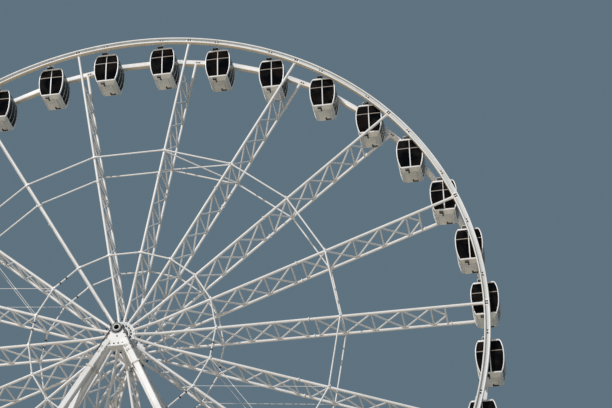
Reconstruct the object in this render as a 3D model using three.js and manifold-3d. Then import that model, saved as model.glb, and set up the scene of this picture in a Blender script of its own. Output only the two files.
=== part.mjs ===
// A transportable observation wheel at half of its real size, in millimetres, +Z up.
// The wheel turns about an axis along Y, and people board from the front, at -Y.
// The origin is on the ground, below the middle of the hub.
import * as THREE from 'three';
import { mergeVertices } from 'three/addons/utils/BufferGeometryUtils.js';
import Module from 'manifold-3d';

const wasm = await Module();
wasm.setup();

// Driving dimensions of the wheel
const SPOKES = 18;
const CABINS = 2 * SPOKES;
const SECTORS = 6;
const PIVOT_R = 11500; // from the hub to a cabin's pivot
const HUB_Z = 13600;
const GAP = 0.3; // between touching pieces

const FRONT_RIM = { depth: 190, front: -700, back: -550, flange: 30, recess: 40, sides: 72 };
const REAR_RIM = { depth: 170, front: 560, back: 730, drop: 15, sides: CABINS };

const HUB = { sides: CABINS, radius: 300, half: 760, boreR: 173.1 };
const FLANGE = { radius: 470, y: 690, thick: 80, chordStart: 400 };
const AXLE = { sides: 12, radius: 172, bore: 110, half: 1290 };

// Spoke lattices: chord centre lines at the hub, at the first crossbar and at the rims
const CHORD = { size: 100, thick: 80, hubY: 690, kneeY: 580, rimY: 600 };
const CROSSBARS = [1240, 2160, 3036, 3970, 4860, 5975, 6969, 7924, 8866, 9775, 10212];
const CROSSBAR_SIZE = 50;
const DIAGONAL_SIZE = 45;
const INNER_RING_R = 3036;
const OUTER_RING_R = 6969;
const RING_SIZE = 56;

// Cabin body: half widths along X and Y at heights below the pivot
const CABIN_RINGS = [[-1400, 250, 330], [-1300, 322, 452], [-640, 436, 480], [-175, 335, 440]];
const CABIN_WALL = 26;
const CABIN_FLOOR = 36;
const WINDOW = { top: -255, bottom: -1235, halfX: 275, halfY: 395 };
const HANGER = { foot: 170, head: 58, top: 52, half: 60, sink: 10 };
const PIVOT_PIN = { radius: 32, sides: 6 };

// Stand
const HEAD = {
  y: 1150, plate: 200, baseX: 460, armX: 215, bottom: -650, shoulder: -20, rise: 90,
  flange: 40, halfX: 500, halfY: 200,
};
const LEG = {
  radius: 110, sides: 8, top: -345, slopeX: 0.472,
  outer: { x: 230, slopeY: 0.269 }, inner: { x: 165, slopeY: 0.071 },
};
const SKID = { width: 420, height: 300, half: 5000 };
const TIE = { width: 300, height: 260, y: 2070 };
const DECK = { halfX: 4600, front: -3200, back: 1850, top: 640, thick: 60, post: 100 };
const RAIL = { height: 550, size: 40, inset: 60 };
const STEPS = { count: 7, rise: 80, tread: 150, halfX: 1200 };
const DRIVE = {
  x: 2500, tyreR: 150, tyreH: 120, tyreSides: 16, gap: 6, spindleR: 40, spindleSides: 8,
  halfX: 110, postBack: 1150, headH: 190, headFront: 60, headDrop: 30,
};

const WHITE = new THREE.MeshStandardMaterial({ color: 0xe9e6df, roughness: 0.45, metalness: 0.0 });
const CABIN_WHITE = new THREE.MeshStandardMaterial({ color: 0xeeece6, roughness: 0.35, metalness: 0.0 });
const GREY = new THREE.MeshStandardMaterial({ color: 0x8c9096, roughness: 0.55, metalness: 0.3 });
const DECKING = new THREE.MeshStandardMaterial({ color: 0x9a958a, roughness: 0.7, metalness: 0.1 });

// Solids
function asSolid(geometry) {
  geometry.deleteAttribute('normal');
  geometry.deleteAttribute('uv');
  const merged = mergeVertices(geometry, 1e-3);
  const vertProperties = new Float32Array(merged.attributes.position.array);
  const triVerts = new Uint32Array(merged.index.array);
  return new wasm.Manifold(new wasm.Mesh({ numProp: 3, vertProperties, triVerts }));
}

function join(solids) {
  return solids.reduce((whole, next) => whole.add(next));
}

function asMesh(name, solid, material) {
  const { vertProperties, triVerts } = solid.getMesh();
  const geometry = new THREE.BufferGeometry();
  geometry.setAttribute('position', new THREE.BufferAttribute(vertProperties, 3));
  geometry.setIndex(new THREE.BufferAttribute(triVerts, 1));
  geometry.computeVertexNormals();
  const mesh = new THREE.Mesh(geometry, material);
  mesh.name = name;
  return mesh;
}

// A block between two corners
function block(low, high) {
  const size = high.map((value, i) => value - low[i]);
  const middle = high.map((value, i) => (value + low[i]) / 2);
  return asSolid(new THREE.BoxGeometry(...size).translate(...middle));
}

// A straight bar of a regular section from one point to another
function bar(from, to, radius, sides) {
  const start = new THREE.Vector3(...from);
  const along = new THREE.Vector3(...to).sub(start);
  const geometry = new THREE.CylinderGeometry(radius, radius, along.length(), sides);
  geometry.rotateY(Math.PI / sides);
  geometry.applyQuaternion(new THREE.Quaternion().setFromUnitVectors(
    new THREE.Vector3(0, 1, 0), along.clone().normalize()));
  geometry.translate(...start.addScaledVector(along, 0.5).toArray());
  return asSolid(geometry);
}

// A profile of [radius, y] points, up the inside and down the outside, turned about the Y axis
function ring(points, sides, turn = 0) {
  const profile = [points[0], ...points.toReversed()].map(([r, y]) => new THREE.Vector2(r, y));
  return asSolid(new THREE.LatheGeometry(profile, sides).rotateY(turn));
}

// A flat outline of [x, y] points with holes, extruded both ways along Z
function plate(outline, holes, thickness) {
  const points = (list) => list.map(([x, y]) => new THREE.Vector2(x, y));
  const shape = new THREE.Shape(points(outline));
  shape.holes = holes.map((hole) => new THREE.Path(points(hole)));
  const geometry = new THREE.ExtrudeGeometry(shape, { depth: thickness, bevelEnabled: false });
  return geometry.translate(0, 0, -thickness / 2);
}

// Four-cornered rings of [z, halfX, halfY], joined from the bottom up and closed at both ends
function loft(rings) {
  const corners = rings.flatMap(([z, hx, hy]) => [-hx, -hy, z, hx, -hy, z, hx, hy, z, -hx, hy, z]);
  const faces = [0, 2, 1, 0, 3, 2];
  for (let level = 0; level < rings.length - 1; level++) {
    for (let side = 0; side < 4; side++) {
      const a = 4 * level + side;
      const b = 4 * level + (side + 1) % 4;
      faces.push(a, b, b + 4, a, b + 4, a + 4);
    }
  }
  const top = 4 * (rings.length - 1);
  faces.push(top, top + 1, top + 2, top, top + 2, top + 3);
  const geometry = new THREE.BufferGeometry();
  geometry.setAttribute('position', new THREE.Float32BufferAttribute(corners, 3));
  geometry.setIndex(faces);
  return asSolid(geometry);
}

const polar = (r, angle, y) => [r * Math.cos(angle), y, r * Math.sin(angle)];
const spokeAngle = (i) => (2 * Math.PI * i) / SPOKES;
const cabinAngle = (i) => (2 * Math.PI * (i + 0.5)) / CABINS;

// Rims
function frontRim() {
  const { depth, front, back, flange, recess, sides } = FRONT_RIM;
  const inner = PIVOT_R - depth / 2;
  const outer = PIVOT_R + depth / 2;
  return ring([
    [inner, front], [inner, back], [outer, back], [outer, front],
    [outer - flange, front], [outer - flange, front + recess],
    [inner + flange, front + recess], [inner + flange, front],
  ], sides, Math.PI / 2);
}

function rearRim() {
  const { depth, front, back, drop, sides } = REAR_RIM;
  const inner = PIVOT_R - drop - depth / 2;
  const outer = PIVOT_R - drop + depth / 2;
  return ring([[inner, front], [inner, back], [outer, back], [outer, front]], sides,
    Math.PI / 2 + Math.PI / CABINS);
}

// Hub: the barrel that turns on the axle
function hub() {
  const { sides, radius, half, boreR } = HUB;
  const outer = radius - GAP;
  return ring([[boreR, -half], [boreR, half], [outer, half], [outer, -half]], sides, Math.PI / 2);
}

// Ring of struts round the spokes' outer faces, straight from spoke to spoke
function strutRing(r, side) {
  const middle = side * (chordInside(r) + CHORD.size + GAP + RING_SIZE / 2);
  const low = middle - RING_SIZE / 2;
  const high = middle + RING_SIZE / 2;
  const inner = r - RING_SIZE / 2;
  const outer = r + RING_SIZE / 2;
  return ring([[inner, low], [inner, high], [outer, high], [outer, low]], SPOKES, Math.PI / 2);
}

// Spokes: the inner edge of a chord at a radius, as a distance from the wheel's middle plane
function chordInside(r) {
  const [first] = CROSSBARS;
  const t = (r - first) / (PIVOT_R - first);
  return CHORD.kneeY + (CHORD.rimY - CHORD.kneeY) * t - CHORD.size / 2;
}

// The two triangles that a diagonal leaves open in a bay
function bayHoles(from, to, flip) {
  const r1 = from + CROSSBAR_SIZE / 2;
  const r2 = to - CROSSBAR_SIZE / 2;
  const h1 = chordInside(r1);
  const h2 = chordInside(r2);
  const run = r2 - r1;
  const rise = h1 + h2;
  const alongR = (DIAGONAL_SIZE / 2) * Math.hypot(run, rise) / rise;
  const alongY = (DIAGONAL_SIZE / 2) * Math.hypot(run, rise) / run;
  return [
    [[r1 + alongR, -flip * h1], [r2, -flip * h2], [r2, flip * (h2 - alongY)]],
    [[r1, flip * (alongY - h1)], [r1, flip * h1], [r2 - alongR, flip * h2]],
  ];
}

function spoke() {
  const { size, thick, hubY, kneeY, rimY } = CHORD;
  const half = size / 2;
  const knee = CROSSBARS[0];
  const last = CROSSBARS[CROSSBARS.length - 1];
  const lastBay = CROSSBARS[CROSSBARS.length - 2];
  const start = FLANGE.chordStart;
  const frontEnd = PIVOT_R - FRONT_RIM.depth / 2 - half * Math.tan(Math.PI / FRONT_RIM.sides) - GAP;
  const rearInside = PIVOT_R - REAR_RIM.drop - REAR_RIM.depth / 2;
  const rearEnd = rearInside * Math.cos(Math.PI / REAR_RIM.sides) - GAP;
  const first = knee - CROSSBAR_SIZE / 2;
  const end = last + CROSSBAR_SIZE / 2;
  const outline = [
    [start, -hubY - half], [knee, -kneeY - half], [frontEnd, -rimY - half], [frontEnd, -rimY + half],
    [end, -chordInside(end)], [end, chordInside(end)], [rearEnd, rimY - half], [rearEnd, rimY + half],
    [knee, kneeY + half], [start, hubY + half], [start, hubY - half], [first, chordInside(first)],
    [first, -chordInside(first)], [start, -hubY + half],
  ];
  const holes = CROSSBARS.slice(0, -2).flatMap((r, i) => bayHoles(r, CROSSBARS[i + 1], i % 2 ? -1 : 1));
  const r1 = lastBay + CROSSBAR_SIZE / 2;
  const r2 = last - CROSSBAR_SIZE / 2;
  const h1 = chordInside(r1);
  const h2 = chordInside(r2);
  holes.push([[r1, -h1], [r2, -h2], [r2, h2], [r1, h1]]);
  return plate(outline, holes, thick);
}

// A sixth of the hub's bolted flange, which joins the chord ends of its own spokes
function flangeSector(sector, side) {
  const { radius, y, thick } = FLANGE;
  const step = (2 * Math.PI) / HUB.sides;
  const perSector = HUB.sides / SECTORS;
  const trim = GAP / HUB.radius;
  const first = spokeAngle(sector * SPOKES / SECTORS) - step;
  const angles = Array.from({ length: perSector + 1 }, (_, i) => first + i * step);
  angles[0] += trim;
  angles[perSector] -= trim;
  const arc = (r, list) => list.map((angle) => [r * Math.cos(angle), r * Math.sin(angle)]);
  const outline = [...arc(radius, angles), ...arc(HUB.radius, angles.toReversed())];
  return asSolid(plate(outline, [], thick).rotateX(Math.PI / 2).translate(0, side * y, 0));
}

function spokeSector(sector) {
  const perSector = SPOKES / SECTORS;
  const pieces = [flangeSector(sector, -1), flangeSector(sector, 1)];
  for (let i = sector * perSector; i < (sector + 1) * perSector; i++) {
    pieces.push(asSolid(spoke().rotateY(-spokeAngle(i))));
  }
  return join(pieces);
}

// Cabin: a hollow body with openings for the doors and windows, hung from a pin that turns in the rims
function cabinHanger() {
  const { foot, head, top, half, sink } = HANGER;
  const roof = CABIN_RINGS[CABIN_RINGS.length - 1][0];
  const outline = [[-foot, roof - sink], [foot, roof - sink], [head, top], [-head, top]];
  const ends = [[0, FRONT_RIM.back + GAP, 0], [0, REAR_RIM.front - GAP, 0]];
  const pin = bar(...ends, PIVOT_PIN.radius, PIVOT_PIN.sides);
  return join([asSolid(plate(outline, [], 2 * half).rotateX(Math.PI / 2)), pin]);
}

function cabin() {
  const body = loft(CABIN_RINGS);
  const [floor, sill, waist, roof] = CABIN_RINGS;
  const rise = CABIN_FLOOR / (sill[0] - floor[0]);
  const drop = CABIN_WALL / (roof[0] - waist[0]);
  const inset = ([z, hx, hy]) => [z, hx - CABIN_WALL, hy - CABIN_WALL];
  const between = (a, b, t) => a.map((value, i) => value + (b[i] - value) * t);
  const room = loft([
    inset(between(floor, sill, rise)), inset(sill), inset(waist), inset(between(roof, waist, drop)),
  ]);
  const { top, bottom, halfX, halfY } = WINDOW;
  const reach = 2 * waist[2];
  const doors = block([-halfX, -reach, bottom], [halfX, reach, top]);
  const sides = block([-reach, -halfY, bottom], [reach, halfY, top]);
  return join([body.subtract(room).subtract(doors).subtract(sides), cabinHanger()]);
}

// Stand: heads with a saddle for the axle
function axle() {
  const { sides, radius, bore, half } = AXLE;
  return ring([[bore, -half], [bore, half], [radius, half], [radius, -half]], sides, Math.PI / sides);
}

function head(side) {
  const { y, plate: thickness, baseX, armX, bottom, shoulder, rise, flange, halfX, halfY } = HEAD;
  const step = (2 * Math.PI) / AXLE.sides;
  const corner = AXLE.radius + GAP / Math.cos(step / 2);
  const seat = corner * Math.cos(step / 2);
  const saddle = Array.from({ length: AXLE.sides / 2 }, (_, i) => {
    const angle = -(i + 0.5) * step;
    return [corner * Math.cos(angle), corner * Math.sin(angle)];
  });
  const outline = [[-baseX, bottom], [baseX, bottom], [armX, shoulder], [armX, rise], [seat, rise],
    ...saddle, [-seat, rise], [-armX, rise], [-armX, shoulder]];
  const fork = asSolid(plate(outline, [], thickness).rotateX(Math.PI / 2).translate(0, side * y, 0));
  const foot = block([-halfX, side * y - halfY, bottom], [halfX, side * y + halfY, bottom + flange]);
  return join([fork, foot]).translate(0, 0, HUB_Z);
}

// A pair of leg tubes that leave the head together and stand apart on the skid
function legs(sideX, sideY) {
  const { radius, sides, top, slopeX, outer, inner } = LEG;
  const fall = HUB_Z + top;
  const tubes = [outer, inner].map(({ x, slopeY }) => bar(
    [sideX * x, sideY * HEAD.y, fall],
    [sideX * (x + slopeX * fall), sideY * (HEAD.y + slopeY * fall), 0], radius, sides));
  const far = 2 * PIVOT_R;
  const above = block([-far, -far, HUB_Z + HEAD.bottom - GAP], [far, far, 2 * HUB_Z]);
  const below = block([-far, -far, -far], [far, far, SKID.height + GAP]);
  return join(tubes).subtract(above).subtract(below);
}

const footX = LEG.outer.x + LEG.slopeX * (HUB_Z + LEG.top - SKID.height);

// Two skids under the feet, tied together below the platform
function baseFrame() {
  const { width, height, half } = SKID;
  const beams = [-1, 1].flatMap((side) => [
    block([side * footX - width / 2, -half, 0], [side * footX + width / 2, half, height]),
    block([-footX, side * TIE.y - TIE.width / 2, 0], [footX, side * TIE.y + TIE.width / 2, TIE.height]),
  ]);
  return join(beams);
}

// Flight of steps up to the platform
function steps() {
  const { count, rise, tread, halfX } = STEPS;
  const outline = [[0, 0]];
  for (let i = 0; i < count; i++) {
    outline.push([i * tread, (i + 1) * rise]);
    outline.push([(i + 1) * tread, (i + 1) * rise]);
  }
  const wall = count * tread + DECK.thick;
  outline.push([count * tread, DECK.top - DECK.thick / 2], [wall, DECK.top - DECK.thick / 2], [wall, 0]);
  const flight = plate(outline, [], 2 * halfX).rotateX(Math.PI / 2).rotateZ(Math.PI / 2);
  return asSolid(flight.translate(0, DECK.front - count * tread + DECK.thick / 4, 0));
}

// Boarding platform with its posts and rails
function platform() {
  const { halfX, front, back, top, thick, post } = DECK;
  const pieces = [block([-halfX, front, top - thick], [halfX, back, top]), steps()];
  for (const x of [-halfX + post, 0, halfX - post]) {
    for (const y of [front + post, back - post]) {
      pieces.push(block([x - post / 2, y - post / 2, 0], [x + post / 2, y + post / 2, top - thick / 2]));
    }
  }
  const size = RAIL.size / 2;
  const handrail = top + RAIL.height;
  const edgeX = halfX - RAIL.inset;
  const edgeBack = back - RAIL.inset;
  const edgeFront = front + RAIL.inset;
  const posts = [[-edgeX, edgeFront], [-edgeX, edgeBack], [edgeX, edgeBack], [edgeX, edgeFront],
    [0, edgeBack], [-STEPS.halfX - RAIL.inset, edgeFront], [STEPS.halfX + RAIL.inset, edgeFront]];
  for (const [x, y] of posts) {
    pieces.push(block([x - size, y - size, top - thick / 2], [x + size, y + size, handrail]));
  }
  const rail = (x1, y1, x2, y2, z) => block(
    [Math.min(x1, x2) - size, Math.min(y1, y2) - size, z - 2 * size],
    [Math.max(x1, x2) + size, Math.max(y1, y2) + size, z],
  );
  for (const z of [handrail + size, top + RAIL.height / 2]) {
    pieces.push(rail(-edgeX, edgeBack, edgeX, edgeBack, z));
    for (const side of [-1, 1]) {
      pieces.push(rail(side * edgeX, edgeFront, side * edgeX, edgeBack, z));
      pieces.push(rail(side * (STEPS.halfX + RAIL.inset), edgeFront, side * edgeX, edgeFront, z));
    }
  }
  return join(pieces);
}

// Drive unit: a post behind the rear rim, whose tyre runs against the rim's side
function driveUnit(side) {
  const { tyreR, tyreH, tyreSides, gap, spindleR, spindleSides } = DRIVE;
  const { halfX, postBack, headH, headFront, headDrop } = DRIVE;
  const x = side * DRIVE.x;
  const y = REAR_RIM.back + gap + tyreR;
  const rimZ = HUB_Z - Math.sqrt((PIVOT_R - REAR_RIM.drop) ** 2 - DRIVE.x ** 2);
  const under = rimZ - tyreH / 2;
  const middle = under - headH / 2;
  return join([
    block([x - halfX, postBack - 2 * halfX, DECK.top + GAP], [x + halfX, postBack, middle]),
    block([x - halfX, y - headFront, under - headH], [x + halfX, postBack, under - headDrop]),
    bar([x, y, middle], [x, y, under + tyreH], spindleR, spindleSides),
    bar([x, y, under], [x, y, under + tyreH], tyreR, tyreSides),
  ]);
}

// The whole wheel
const object = new THREE.Group();
const wheel = new THREE.Group();
wheel.position.z = HUB_Z;
object.add(wheel);
wheel.add(asMesh('front_rim', frontRim(), WHITE));
wheel.add(asMesh('rear_rim', rearRim(), WHITE));
wheel.add(asMesh('hub', hub(), WHITE));
for (const [name, side] of [['front', -1], ['rear', 1]]) {
  wheel.add(asMesh(`inner_ring_${name}`, strutRing(INNER_RING_R, side), WHITE));
  wheel.add(asMesh(`outer_ring_${name}`, strutRing(OUTER_RING_R, side), WHITE));
}
for (let sector = 0; sector < SECTORS; sector++) {
  wheel.add(asMesh(`spokes_${sector + 1}`, spokeSector(sector), WHITE));
}

const cabinSolid = cabin();
for (let i = 0; i < CABINS; i++) {
  const mesh = asMesh(`cabin_${String(i + 1).padStart(2, '0')}`, cabinSolid, CABIN_WHITE);
  mesh.position.set(...polar(PIVOT_R, cabinAngle(i), 0));
  wheel.add(mesh);
}

object.add(asMesh('main_axle', axle().translate(0, 0, HUB_Z), GREY));
for (const [name, sideY] of [['front', -1], ['rear', 1]]) {
  object.add(asMesh(`${name}_head`, head(sideY), WHITE));
  object.add(asMesh(`${name}_left_legs`, legs(-1, sideY), WHITE));
  object.add(asMesh(`${name}_right_legs`, legs(1, sideY), WHITE));
}
object.add(asMesh('base_frame', baseFrame(), GREY));
object.add(asMesh('boarding_platform', platform(), DECKING));
object.add(asMesh('left_drive', driveUnit(-1), GREY));
object.add(asMesh('right_drive', driveUnit(1), GREY));

export default object;
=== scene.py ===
# %% [markdown]
# # A transportable observation wheel
#
# The real object is a steel wheel fifty metres high, which travels on lorries and is bolted together on site.
# This is its model at half size. Places and sizes follow the solids of the frame. This lesson puts the
# surfaces round them: round tubes instead of bars of few sides, glazed cabins instead of bare shells, paint
# and bolts.

# %% Load the frame
import math

import bpy
import numpy as np
from mathutils import Matrix, Vector


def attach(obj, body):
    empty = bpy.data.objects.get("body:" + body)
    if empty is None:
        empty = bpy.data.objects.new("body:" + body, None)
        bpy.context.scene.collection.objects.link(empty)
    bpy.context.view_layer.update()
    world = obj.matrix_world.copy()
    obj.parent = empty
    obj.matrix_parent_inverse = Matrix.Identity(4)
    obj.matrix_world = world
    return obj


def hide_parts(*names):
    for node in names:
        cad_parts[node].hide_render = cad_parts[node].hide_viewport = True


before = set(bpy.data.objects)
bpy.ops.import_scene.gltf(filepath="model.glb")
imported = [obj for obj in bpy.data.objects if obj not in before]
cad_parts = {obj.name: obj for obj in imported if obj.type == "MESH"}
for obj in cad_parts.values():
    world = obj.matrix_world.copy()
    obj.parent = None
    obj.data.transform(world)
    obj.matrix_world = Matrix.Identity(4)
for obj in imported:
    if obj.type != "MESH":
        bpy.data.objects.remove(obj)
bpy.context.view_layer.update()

# %% [markdown]
# ## The camera
#
# The photographer stood in front of the wheel, to the right of its hub and well below it, and looked up and
# to the left. The place and the turn of the camera come from the rims: two circles of known spacing and known
# angles between cabins fix them. The lens is a short telephoto.

# %% Camera
HUB = np.array([0.0, 0.0, 13.6])
PIVOT_R = 11.5
FOCAL_PX, IMAGE_WIDTH_PX, SENSOR_MM = 1690.9, 612, 36.0
CAMERA_AT = HUB + PIVOT_R * np.array([1.1174, -4.0709, -2.1227])
CAMERA_RIGHT = (0.98699, 0.15949, -0.02031)
CAMERA_UP = (0.10043, -0.51294, 0.85253)
CAMERA_FORWARD = (-0.12555, 0.84348, 0.52228)
NEAREST, FARTHEST = 0.5, 500


def make_camera():
    """Columns of the camera's turn are its right, its up and its backward direction."""
    data = bpy.data.cameras.new("camera")
    camera = bpy.data.objects.new("camera", data)
    bpy.context.scene.collection.objects.link(camera)
    data.sensor_width = SENSOR_MM
    data.lens = FOCAL_PX * SENSOR_MM / IMAGE_WIDTH_PX
    data.clip_start, data.clip_end = NEAREST, FARTHEST
    right, up, forward = Vector(CAMERA_RIGHT), Vector(CAMERA_UP), Vector(CAMERA_FORWARD)
    turn = Matrix((right, up, -forward)).transposed()
    camera.matrix_world = Matrix.Translation(Vector(CAMERA_AT)) @ turn.to_4x4()
    bpy.context.scene.camera = camera
    return camera


camera = make_camera()
print("lens", round(camera.data.lens, 1), "mm at", [round(v, 2) for v in camera.location])

# %% [markdown]
# ## Forms as arrays
#
# Every piece below is a form: an array of points, an array of faces with four corners each (the last is -1
# on a triangle) and a finish number for each face. A whole spoke of 37 bars is one array sum, so nothing
# loops over vertices.

# %% Forms
def form(points, faces):
    """Points, faces of three or four corners, and finish number 0 for each face."""
    faces = np.asarray(faces, int).reshape(-1, 4)
    return np.asarray(points, float).reshape(-1, 3), faces, np.zeros(len(faces), int)


def joined(*forms):
    """Several forms as one: the corner numbers of each move up by the points before it."""
    starts = np.cumsum([0] + [len(p) for p, _, _ in forms[:-1]])
    faces = [np.where(f >= 0, f + start, -1) for (_, f, _), start in zip(forms, starts)]
    return np.vstack([p for p, _, _ in forms]), np.vstack(faces), np.concatenate([m for _, _, m in forms])


def moved(shape, shift=(0, 0, 0), turn=None):
    """Each point p becomes turn p + shift."""
    points, faces, finish = shape
    turned_points = points if turn is None else points @ np.asarray(turn).T
    return turned_points + np.asarray(shift, float), faces, finish


def repeated(faces, count, size):
    """The faces once for each copy, where each copy's corner numbers go up by the size of a copy."""
    step = np.arange(count)[:, None, None] * size
    return np.where(faces >= 0, faces + step, -1).reshape(-1, 4)


def copies(shape, shifts, turns=np.eye(3)):
    """One copy for each shift (k, 3): a point p becomes turn p + shift, with one turn for all or k turns."""
    points, faces, finish = shape
    shifts = np.asarray(shifts, float)
    turns = np.broadcast_to(turns, (len(shifts), 3, 3))
    placed = np.einsum("kij,nj->kni", turns, points) + shifts[:, None]
    return placed.reshape(-1, 3), repeated(faces, len(shifts), len(points)), np.tile(finish, len(shifts))


def finished_as(shape, finish):
    """The same form with another finish number."""
    points, faces, old = shape
    return points, faces, np.full(len(old), finish)


triangle = form([(0, 0, 0), (1, 0, 0), (0, 1, 0)], [(0, 1, 2, -1)])
print("two copies of a triangle have", len(copies(triangle, [(0, 0, 0), (0, 0, 1)])[0]), "points")

# %% Grids of quads
def grid_faces(rows, columns, wrap_rows=False, wrap_columns=False):
    """Quads between neighbouring rows and columns of a point grid, closed round where it wraps."""
    i = np.arange(rows if wrap_rows else rows - 1)[:, None]
    j = np.arange(columns if wrap_columns else columns - 1)[None, :]
    below, right = (i + 1) % rows, (j + 1) % columns
    corners = [i * columns + j, i * columns + right, below * columns + right, below * columns + j]
    return np.stack(np.broadcast_arrays(*corners), -1).reshape(-1, 4)


def fan(first, count, flip=False):
    """Triangles from the first corner of a ring of points across to the others."""
    k = np.arange(1, count - 1)
    a, b = (k + 1, k) if flip else (k, k + 1)
    return np.stack([np.full_like(k, first), first + a, first + b, np.full_like(k, -1)], -1)


def ring_faces(rows, columns, closed):
    """Quads between rings of points, with the last ring joined to the first or a fan over each end."""
    if closed:
        return grid_faces(rows, columns, True, True)
    return np.vstack([grid_faces(rows, columns, wrap_columns=True), fan(0, columns, True),
                      fan((rows - 1) * columns, columns)])


print("a tube of 12 sides has", len(ring_faces(2, 12, False)), "faces")

# %% Tubes, turned forms and sweeps
def unit(v):
    """Each vector divided by its length."""
    return v / np.linalg.norm(v, axis=-1, keepdims=True)


def across(axis):
    """Two directions square to each axis: the upright (or X) crossed with it, and it crossed with that."""
    upright = np.where(np.abs(axis[..., 2:3]) < 0.9, [0.0, 0.0, 1.0], [1.0, 0.0, 0.0])
    side = unit(np.cross(upright, axis))
    return side, np.cross(axis, side)


def tubes(starts, ends, radius, sides=12):
    """Straight round bars: point = centre + r (cos a, sin a) in the plane square to the bar, at both ends."""
    starts, ends = np.atleast_2d(starts).astype(float), np.atleast_2d(ends).astype(float)
    radius = np.broadcast_to(np.asarray(radius, float), len(starts))[:, None, None]
    side, up = across(unit(ends - starts))
    a = np.linspace(0, 2 * np.pi, sides, endpoint=False)[:, None]
    rim = radius * (np.cos(a) * side[:, None] + np.sin(a) * up[:, None])
    points = np.stack([starts[:, None] + rim, ends[:, None] + rim], 1)
    return form(points, repeated(ring_faces(2, sides, False), len(starts), 2 * sides))


def turned(profile, sides=24, hollow=False):
    """(radius, height) pairs carried round Z: (r cos a, r sin a, h), with flat ends or hollow."""
    profile = np.asarray(profile, float)
    a = np.linspace(0, 2 * np.pi, sides, endpoint=False)
    rings = np.stack([profile[:, :1] * np.cos(a), profile[:, :1] * np.sin(a),
                      np.repeat(profile[:, 1:], sides, 1)], -1)
    return form(rings, ring_faces(len(profile), sides, hollow))


def pipe(bore, radius, half, edge, sides):
    """A hollow turned form from -half to half, with an edge of (radius, height) off its outer corners."""
    upper = [(radius, half - edge[1]), (radius - edge[0], half), (bore, half)]
    return turned([(r, -h) for r, h in reversed(upper)] + upper, sides, hollow=True)


def wall(inner, outer, low, high):
    """The profile of a plain ring: its four corners in (radius, height)."""
    return [(inner, low), (outer, low), (outer, high), (inner, high)]


def sweep(path, section, side, up, closed=False):
    """A section (s, u) carried along a path: path + s side + u up, closed round or with flat ends."""
    path, section = np.asarray(path, float), np.asarray(section, float)
    side, up = np.broadcast_to(side, path.shape), np.broadcast_to(up, path.shape)
    points = path[:, None] + section[None, :, :1] * side[:, None] + section[None, :, 1:] * up[:, None]
    return form(points, ring_faces(len(path), len(section), closed))


print("a pipe of 12 sides has", len(pipe(0.1, 0.2, 1, (0.01, 0.01), 12)[1]), "faces")

# %% Soft outlines and slabs
def softened(outline, radius, steps=3):
    """Each corner of a closed outline becomes a short curve: (1-t)^2 a + 2t(1-t) corner + t^2 b."""
    corner = np.asarray(outline, float)
    before = corner + unit(np.roll(corner, 1, 0) - corner) * radius
    after = corner + unit(np.roll(corner, -1, 0) - corner) * radius
    t = np.linspace(0, 1, steps + 1)[None, :, None]
    curve = (1 - t) ** 2 * before[:, None] + 2 * t * (1 - t) * corner[:, None] + t ** 2 * after[:, None]
    return curve.reshape(-1, corner.shape[1])


def rectangle(half_x, half_y, radius, steps=3):
    """A rounded rectangle outline, counter-clockwise."""
    corners = [(-half_x, -half_y), (half_x, -half_y), (half_x, half_y), (-half_x, half_y)]
    return softened(corners, radius, steps)


def slab(outer, inner, mirrored=False):
    """A panel between two point grids, closed round its border; a mirrored one is read from right to left."""
    if mirrored:
        outer, inner = outer[:, ::-1], inner[:, ::-1]
    rows, columns = outer.shape[:2]
    count = rows * columns
    face = grid_faces(rows, columns)
    top, bottom = np.arange(columns), (rows - 1) * columns + np.arange(columns)
    left, right = np.arange(rows) * columns, np.arange(rows) * columns + columns - 1
    border = np.concatenate([top, right[1:], bottom[-2::-1], left[-2:0:-1]])
    ahead = np.roll(border, -1)
    edge = np.stack([ahead, border, border + count, ahead + count], -1)
    return form(np.concatenate([outer.reshape(-1, 3), inner.reshape(-1, 3)]),
                np.vstack([face, face[:, ::-1] + count, edge]))


print("a rounded rectangle has", len(rectangle(1, 1, 0.1)), "points")

# %% Bevelled bricks
def brick_pattern():
    """Which signed corner and which full axis each of a brick's 24 points has, and its 26 faces.

    Each corner of the box is cut to three points, one for each axis that still reaches full size.
    The faces are six sides, twelve edges and eight corners, turned so that they look away from the middle."""
    signs = np.array([[x, y, z] for x in (-1, 1) for y in (-1, 1) for z in (-1, 1)], float)
    corner, full = np.repeat(np.arange(8), 3), np.tile(np.arange(3), 8)
    reaches = np.arange(3) == full[:, None]
    faces = []
    for axis in range(3):
        first, second = [k for k in range(3) if k != axis]
        for sign in (-1, 1):
            ring = [c for c in range(8) if signs[c, axis] == sign]
            ring.sort(key=lambda c: math.atan2(signs[c, second], signs[c, first]))
            faces.append([3 * c + axis for c in ring])
        for c in range(8):
            mate = c + (4, 2, 1)[axis]
            if signs[c, axis] < 0:
                faces.append([3 * c + first, 3 * mate + first, 3 * mate + second, 3 * c + second])
    faces += [[3 * c, 3 * c + 1, 3 * c + 2, -1] for c in range(8)]
    faces = np.array(faces)
    sample = signs[corner] * np.where(reaches, 1.0, 0.8)
    a, b, c = (sample[faces[:, k]] for k in range(3))
    inward = np.einsum("ij,ij->i", np.cross(b - a, c - a), a + b + c) < 0
    quad = faces[:, 3] >= 0
    faces[inward & quad] = faces[inward & quad][:, ::-1]
    faces[inward & ~quad] = faces[inward & ~quad][:, [0, 2, 1, 3]]
    return signs[corner], reaches, faces


BRICK_SIGN, BRICK_FULL, BRICK_FACES = brick_pattern()


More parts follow.
